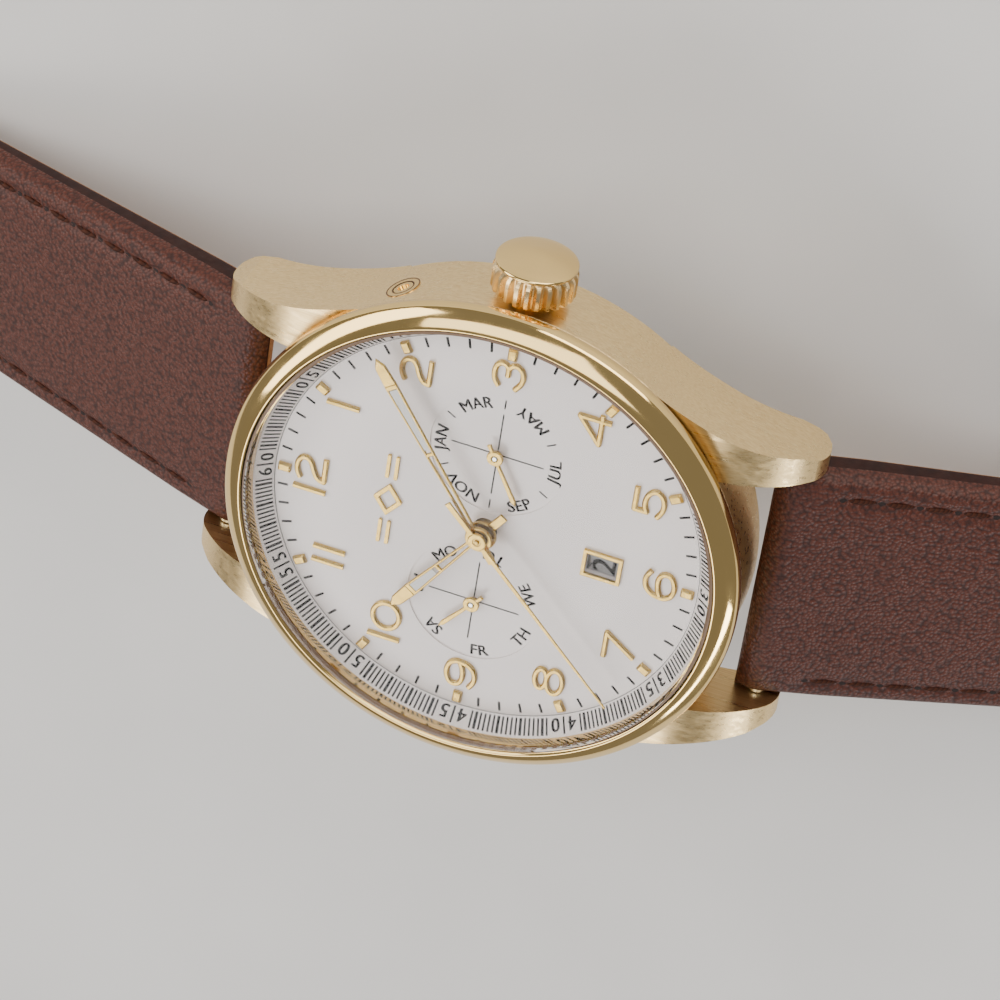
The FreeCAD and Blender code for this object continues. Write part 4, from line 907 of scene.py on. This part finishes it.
# ---- strap ----
class StrapHalf:
    """Side profile and outline of one strap half, drawn on the +Y side and mirrored if asked."""

    def __init__(self, bend_r, end_y, pointed, way):
        self.bend_r = bend_r
        self.pointed = pointed
        self.way = way
        self.bend = (BAR_Y + STRAIGHT * math.cos(DROOP), BAR_Z - STRAIGHT * math.sin(DROOP))
        self.flat = (self.bend[0] + bend_r * math.sin(DROOP),
                     self.bend[1] - bend_r * (1 - math.cos(DROOP)))
        self.arc_length = bend_r * DROOP
        self.length = STRAIGHT + self.arc_length + end_y - self.flat[0]

    def station(self, s):
        """Place, downward angle and half thickness at distance s from the spring bar."""
        if s < STRAIGHT:
            place = (BAR_Y + s * math.cos(DROOP), BAR_Z - s * math.sin(DROOP))
            return place, DROOP, NOSE_HALF + (BEND_HALF - NOSE_HALF) * max(0.0, s) / STRAIGHT
        if s < STRAIGHT + self.arc_length:
            share = (s - STRAIGHT) / self.arc_length
            angle = DROOP * (1 - share)
            place = (self.flat[0] - self.bend_r * math.sin(angle),
                     self.flat[1] + self.bend_r * (1 - math.cos(angle)))
            return place, angle, BEND_HALF + (FLAT_HALF - BEND_HALF) * share
        return (self.flat[0] + s - STRAIGHT - self.arc_length, self.flat[1]), 0.0, FLAT_HALF

    def half_width(self, y):
        share = min(1.0, max(0.0, (y - TAPER_START) / (TAPER_END - TAPER_START)))
        wide = STRAP_W / 2 + (STRAP_W_END - STRAP_W) / 2 * share
        if self.pointed and y > TAIL_Y - TAIL_DEPTH:
            reach = y - (TAIL_Y - TAIL_R)
            wide = math.sqrt(max(0.01, TAIL_R ** 2 - reach ** 2))
        return wide

    def edge_distance(self, x, y):
        if self.pointed and y > TAIL_Y - TAIL_DEPTH:
            return TAIL_R - math.hypot(x, y - (TAIL_Y - TAIL_R))
        return self.half_width(y) - abs(x)

    def thinning(self, s, half):
        """Half thickness where the leather turns round the spring bar, or round the buckle's."""
        if s < 0:
            return NOSE_HALF * math.sqrt(max(0.0, 1 - (s / NOSE_HALF) ** 2))
        if not self.pointed and s > self.length:
            past = (s - self.length) / FLAT_HALF
            return half * math.sqrt(max(0.0, 1 - past ** 2))
        return half

    def top(self, s, x):
        """Height of the grain side over the middle line."""
        place, _, half = self.station(s)
        half = self.thinning(s, half)
        d = max(0.0, self.edge_distance(x, place[0]))
        padding = 0.7 * math.exp(-d / 2.3) * min(1.0, half / NOSE_HALF + 0.35)
        sewn = min(1.0, max(0.0, s - 2.6), max(0.0, self.length - 3 - s))
        seam = 0.24 * sewn * math.exp(-((d - SEAM_IN) / 0.42) ** 2)
        corner = 1.2 * (1 - math.sqrt(max(0.0, 1 - (1 - min(d, 0.9) / 0.9) ** 2)))
        wave = noise.noise(Vector((x * 0.22, s * 0.14, 3.0 if self.pointed else 7.0)))
        slack = 0.07 * min(1.0, d / 2) * wave
        return max(-half * 0.3, half - (padding + seam + corner) * min(1.0, half / 1.1) + slack)

    def under(self, s, x):
        place, _, half = self.station(s)
        half = self.thinning(s, half)
        d = max(0.0, self.edge_distance(x, place[0]))
        corner = 0.25 * (1 - math.sqrt(max(0.0, 1 - (1 - min(d, 0.3) / 0.3) ** 2)))
        return -half + corner * min(1.0, half)

    def point(self, s, x, rise):
        place, angle, _ = self.station(s)
        y = place[0] + rise * math.sin(angle)
        return (x, self.way * y, place[1] + rise * math.cos(angle))

    def stations(self):
        nose = [-NOSE_HALF * math.cos(math.radians(a)) for a in range(3, 90, 10)]
        count = round(self.length / 0.5)
        run = [self.length * i / count for i in range(count + 1)]
        if self.pointed:
            run = [s for s in run if s < self.length - TAIL_DEPTH - 0.3]
            run += [self.length - TAIL_DEPTH * (1 - math.sin(math.radians(a)))
                    for a in range(0, 90, 3)]
            return nose + run
        return nose + run + [self.length + FLAT_HALF * math.sin(math.radians(a))
                             for a in range(10, 90, 10)]

    def mesh(self, shape):
        columns = 72
        vertices = []
        stations = self.stations()
        for s in stations:
            wide = self.half_width(self.station(s)[0][0])
            across = [wide * math.sin(math.pi / 2 * (2 * i / columns - 1))
                      for i in range(columns + 1)]
            vertices += [self.point(s, x, self.top(s, x)) for x in across]
            vertices += [self.point(s, x, self.under(s, x)) for x in reversed(across)]
        size = 2 * (columns + 1)
        faces = {0: [], 1: [], 2: []}
        for i in range(len(stations) - 1):
            a, b = i * size, (i + 1) * size
            for j in range(size):
                k = (j + 1) % size
                corners = ((a + j, b + j, b + k, a + k) if self.way > 0 else
                           (a + j, a + k, b + k, b + j))
                side = j in (columns, size - 1)
                slot = 1 if side else (0 if j < columns else 2)
                faces[slot].append(corners)
        ends = (tuple(range(size)), tuple(range(len(vertices) - size, len(vertices))))
        faces[1] += [ends[0] if self.way > 0 else ends[0][::-1],
                     ends[1][::-1] if self.way > 0 else ends[1]]
        shape.add(vertices, [])
        for slot, group in faces.items():
            shape.faces += group
            shape.slots += [slot] * len(group)

    def seam(self):
        """Distances and sideways places of the needle holes, round a pointed tail too."""
        start = SEAM_START
        end = self.length - (TAIL_DEPTH if self.pointed else 6.0)
        count = round((end - start) / STITCH_PITCH)
        side = [start + (end - start) * i / count for i in range(count + 1)]
        runs = []
        for way in (-1, 1):
            runs.append([(s, way * (self.half_width(self.station(s)[0][0]) - SEAM_IN))
                         for s in side])
        if self.pointed:
            inner = TAIL_R - SEAM_IN
            widest = math.asin(min(1.0, (STRAP_W_END / 2 - SEAM_IN) / inner))
            count = round(2 * widest * inner / STITCH_PITCH)
            base = self.length - TAIL_R
            angles = [widest * (2 * i / count - 1) for i in range(count + 1)]
            runs.append([(base + inner * math.cos(a), inner * math.sin(a)) for a in angles])
        return runs

    def stitches(self, shape):
        """Slanted threads that dive into the leather, and a dark mark of painted shade at each
        needle hole.
        """
        for run in self.seam():
            for (s0, x0), (s1, x1) in zip(run, run[1:]):
                for face, lift in ((self.top, 0.05), (self.under, -0.05)):
                    ring_count, sides = 7, 8
                    vertices = []
                    for i in range(ring_count):
                        t = i / (ring_count - 1)
                        bow = math.sin(math.pi * t)
                        along = 0.09 + 0.82 * t
                        s, x = s0 + (s1 - s0) * along, x0 + (x1 - x0) * along + 0.1 * (t - 0.5)
                        rise = face(s, x) + lift * (3.2 * bow - 2.2)
                        radius = 0.23 * (0.45 + 0.55 * math.sqrt(bow))
                        for j in range(sides):
                            a = 2 * math.pi * j / sides
                            vertices.append(self.point(s, x + radius * math.cos(a),
                                                       rise + radius * 0.8 * math.sin(a)))
                    shape.add(vertices, bands(ring_count, sides) + caps(sides, len(vertices)))
            for s, x in run:
                self.needle_hole(shape, s, x)

    def needle_hole(self, shape, s, x):
        """A dark mark of painted shade where the thread goes down, just proud of the leather, in
        place of the hole's shade.
        """
        rim = []
        for i in range(10):
            a = 2 * math.pi * i / 10
            at_s, at_x = s + HOLE_LONG * math.cos(a), x + HOLE_WIDE * math.sin(a)
            rim.append(self.point(at_s, at_x, self.top(at_s, at_x) + INK_T))
        face = tuple(range(10))
        shape.add(rim, [face if self.way < 0 else face[::-1]], 1)


def cut(piece, cutter):
    """Subtracts the cutter for good and removes it."""
    modifier = piece.modifiers.new("cut", "BOOLEAN")
    modifier.operation = "DIFFERENCE"
    modifier.solver = "EXACT"
    modifier.object = cutter
    bpy.context.view_layer.update()
    shown = piece.evaluated_get(bpy.context.evaluated_depsgraph_get())
    result = bpy.data.meshes.new_from_object(shown)
    piece.modifiers.clear()
    piece.data = result
    bpy.data.objects.remove(cutter)


def cutter_object(shape):
    mesh = mesh_of("cutter", shape.vertices, shape.faces)
    mesh.materials.append(MATERIALS["edge_paint"])
    return linked("cutter", mesh)


def hole_cutter(half):
    shape = Shape()
    for i in range(7):
        y = -(TAIL_Y - 24 - 6.5 * i)
        steps = 28
        angles = [2 * math.pi * k / steps for k in range(steps)]
        rims = [(math.cos(a), y + math.sin(a), half.flat[1] + z) for z in (-3, 3) for a in angles]
        shape.add(rims, bands(2, steps) + caps(steps, 2 * steps))
    return cutter_object(shape)


def slot_cutter(half):
    """The slot for the buckle's tongue, open at the strap's end."""
    shape = Shape()
    outline = [(1.4, BUCKLE_BAR_Y + 4), *arc(0, BUCKLE_BAR_Y - 3.1, 1.4, 0, -180, 20),
               (-1.4, BUCKLE_BAR_Y + 4)][::-1]
    count = len(outline)
    low = [(x, y, half.flat[1] - 4) for x, y in outline]
    high = [(x, y, half.flat[1] + 4) for x, y in outline]
    shape.add(low + high, bands(2, count) + caps(count, 2 * count))
    return cutter_object(shape)


def make_strap(half, name, body, node, cutter):
    shape = Shape()
    half.mesh(shape)
    leather_piece = shape.piece(f"{name}_leather", body, "leather_brown", "leather_brown",
                                "edge_paint", "lining")
    cut(leather_piece, cutter(half))
    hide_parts(node)
    sewing = Shape()
    half.stitches(sewing)
    sewing.piece(f"{name}_stitching", body, "leather_brown", "thread",
                 "needle_hole")


def make_keeper(name, node, body):
    """A leather loop: a rounded band swept round a rounded rectangle."""
    low, high = low_high(node)
    wall = 1.0
    corner = 1.1
    middle_y = (low.y + high.y) / 2
    half_band = (high.y - low.y) / 2
    half_x, z0, z1 = high.x - wall / 2, low.z + wall / 2, high.z - wall / 2
    loop = []
    for cx, cz, start in ((half_x - corner, z1 - corner, 0), (corner - half_x, z1 - corner, 90),
                          (corner - half_x, z0 + corner, 180),
                          (half_x - corner, z0 + corner, 270)):
        for step in range(0, 91, 9):
            a = math.radians(start + step)
            loop.append((cx + corner * math.cos(a), cz + corner * math.sin(a), a))
    rim = 0.32
    section = []
    for sx, sy, start in ((1, 1, 0), (-1, 1, 90), (-1, -1, 180), (1, -1, 270)):
        for step in range(0, 91, 15):
            a = math.radians(start + step)
            section.append((sx * (wall / 2 - rim) + rim * math.cos(a),
                            sy * (half_band - rim) + rim * math.sin(a)))
    shape = Shape()
    vertices = []
    for x, z, a in loop:
        for out, along in section:
            vertices.append((x + out * math.cos(a), middle_y + along, z + out * math.sin(a)))
    shape.add(vertices, bands(len(loop), len(section), True))
    piece = shape.piece(name, body, "leather_brown")
    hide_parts(node)


def make_straps():
    short = StrapHalf(BUCKLE_BEND, BUCKLE_BAR_Y, False, 1)
    long = StrapHalf(HOLES_BEND, TAIL_Y, True, -1)
    make_strap(short, "strap_buckle", "strap_buckle", "strap_buckle_half", slot_cutter)
    make_strap(long, "strap_hole", "strap_holes", "strap_hole_half", hole_cutter)
    make_keeper("keeper_fixed_loop", "fixed_keeper", "strap_buckle")
    make_keeper("keeper_free_loop", "free_keeper", "loose_keeper")


# ---- stage ----
def make_floor():
    reach, cells_a_side = 1600.0, 24
    step = 2 * reach / cells_a_side
    count = cells_a_side + 1
    vertices = [(i * step - reach, j * step - reach, FLOOR_Z)
                for j in range(count) for i in range(count)]
    faces = [(j * count + i, j * count + i + 1, (j + 1) * count + i + 1, (j + 1) * count + i)
             for j in range(cells_a_side) for i in range(cells_a_side)]
    floor = linked("floor", mesh_of("floor", vertices, faces))
    floor.data.materials.append(plain("floor_paper", (0.72, 0.71, 0.70), 0.6, 0.75, 0.02, 0.02))


def softbox(name, direction, distance, size, watts, colour=(1.0, 1.0, 1.0)):
    """A soft rectangular lamp that faces the watch from a direction, distances in metres."""
    lamp = bpy.data.lights.new(name, "AREA")
    lamp.shape = "RECTANGLE"
    lamp.size, lamp.size_y = size
    lamp.energy = watts
    lamp.color = colour
    holder = linked(name, lamp)
    way = Vector(direction).normalized()
    holder.location = way * distance
    holder.rotation_mode = "QUATERNION"
    holder.rotation_quaternion = (-way).to_track_quat("-Z", "Y")


def make_light():
    softbox("dial_glow", (-0.62, 0.3, 0.72), 0.9, (0.5, 0.45), 3.6, (1.0, 0.97, 0.94))
    softbox("overhead", (0.4, 0.12, 0.9), 0.9, (0.8, 0.55), 4.2, (1.0, 0.98, 0.95))
    softbox("long_strip", (0.2, 0.8, 0.5), 0.8, (0.9, 0.3), 4.5, (1.0, 0.97, 0.93))
    softbox("side", (0.95, -0.35, 0.35), 0.8, (0.6, 0.35), 4.0, (1.0, 0.95, 0.88))
    softbox("low_rim", (-0.75, -0.62, 0.32), 0.8, (0.5, 0.1), 2.0)
    world = bpy.data.worlds.new("studio")
    world.use_nodes = True
    background = world.node_tree.nodes["Background"]
    background.inputs["Color"].default_value = (0.82, 0.81, 0.80, 1)
    background.inputs["Strength"].default_value = 0.34
    bpy.context.scene.world = world


def make_camera():
    """Looks down the dial from beyond 3 o'clock, with 12 o'clock to the left."""
    right = Vector((0.13173654, -0.93609976, -0.32613298))
    down = Vector((-0.79608779, -0.29594497, 0.52788332))
    ahead = Vector((-0.59066887, 0.19008896, -0.78420436))
    lens = bpy.data.cameras.new("camera")
    lens.lens = 179.64
    lens.sensor_width = 36.0
    lens.clip_start, lens.clip_end = 0.02, 20.0
    camera = linked("camera", lens)
    turn = Matrix((right, -down, -ahead)).transposed().to_4x4()
    camera.matrix_world = Matrix.Translation(Vector((229.738, -73.738, 309.476)) * MM) @ turn
    bpy.context.scene.camera = camera


make_camera()
dress_nodes()
for name, width in (("hour_markers", 0.05), ("date_frame", 0.05), ("emblem", 0.05),
                    ("buckle_frame", 0.25), ("buckle_tongue", 0.25)):
    soften(name, width)
make_bezel()
make_crown()
make_corrector_lines()
print_dial()
print_scale()
print_dates()
make_numerals()
make_hands()
calendar_hand("month_hand", "month", 1, 4.4, MONTH_ANGLE)
calendar_hand("weekday_hand", "weekday", -1, 3.8, WEEKDAY_ANGLE)
make_straps()
make_floor()
make_light()
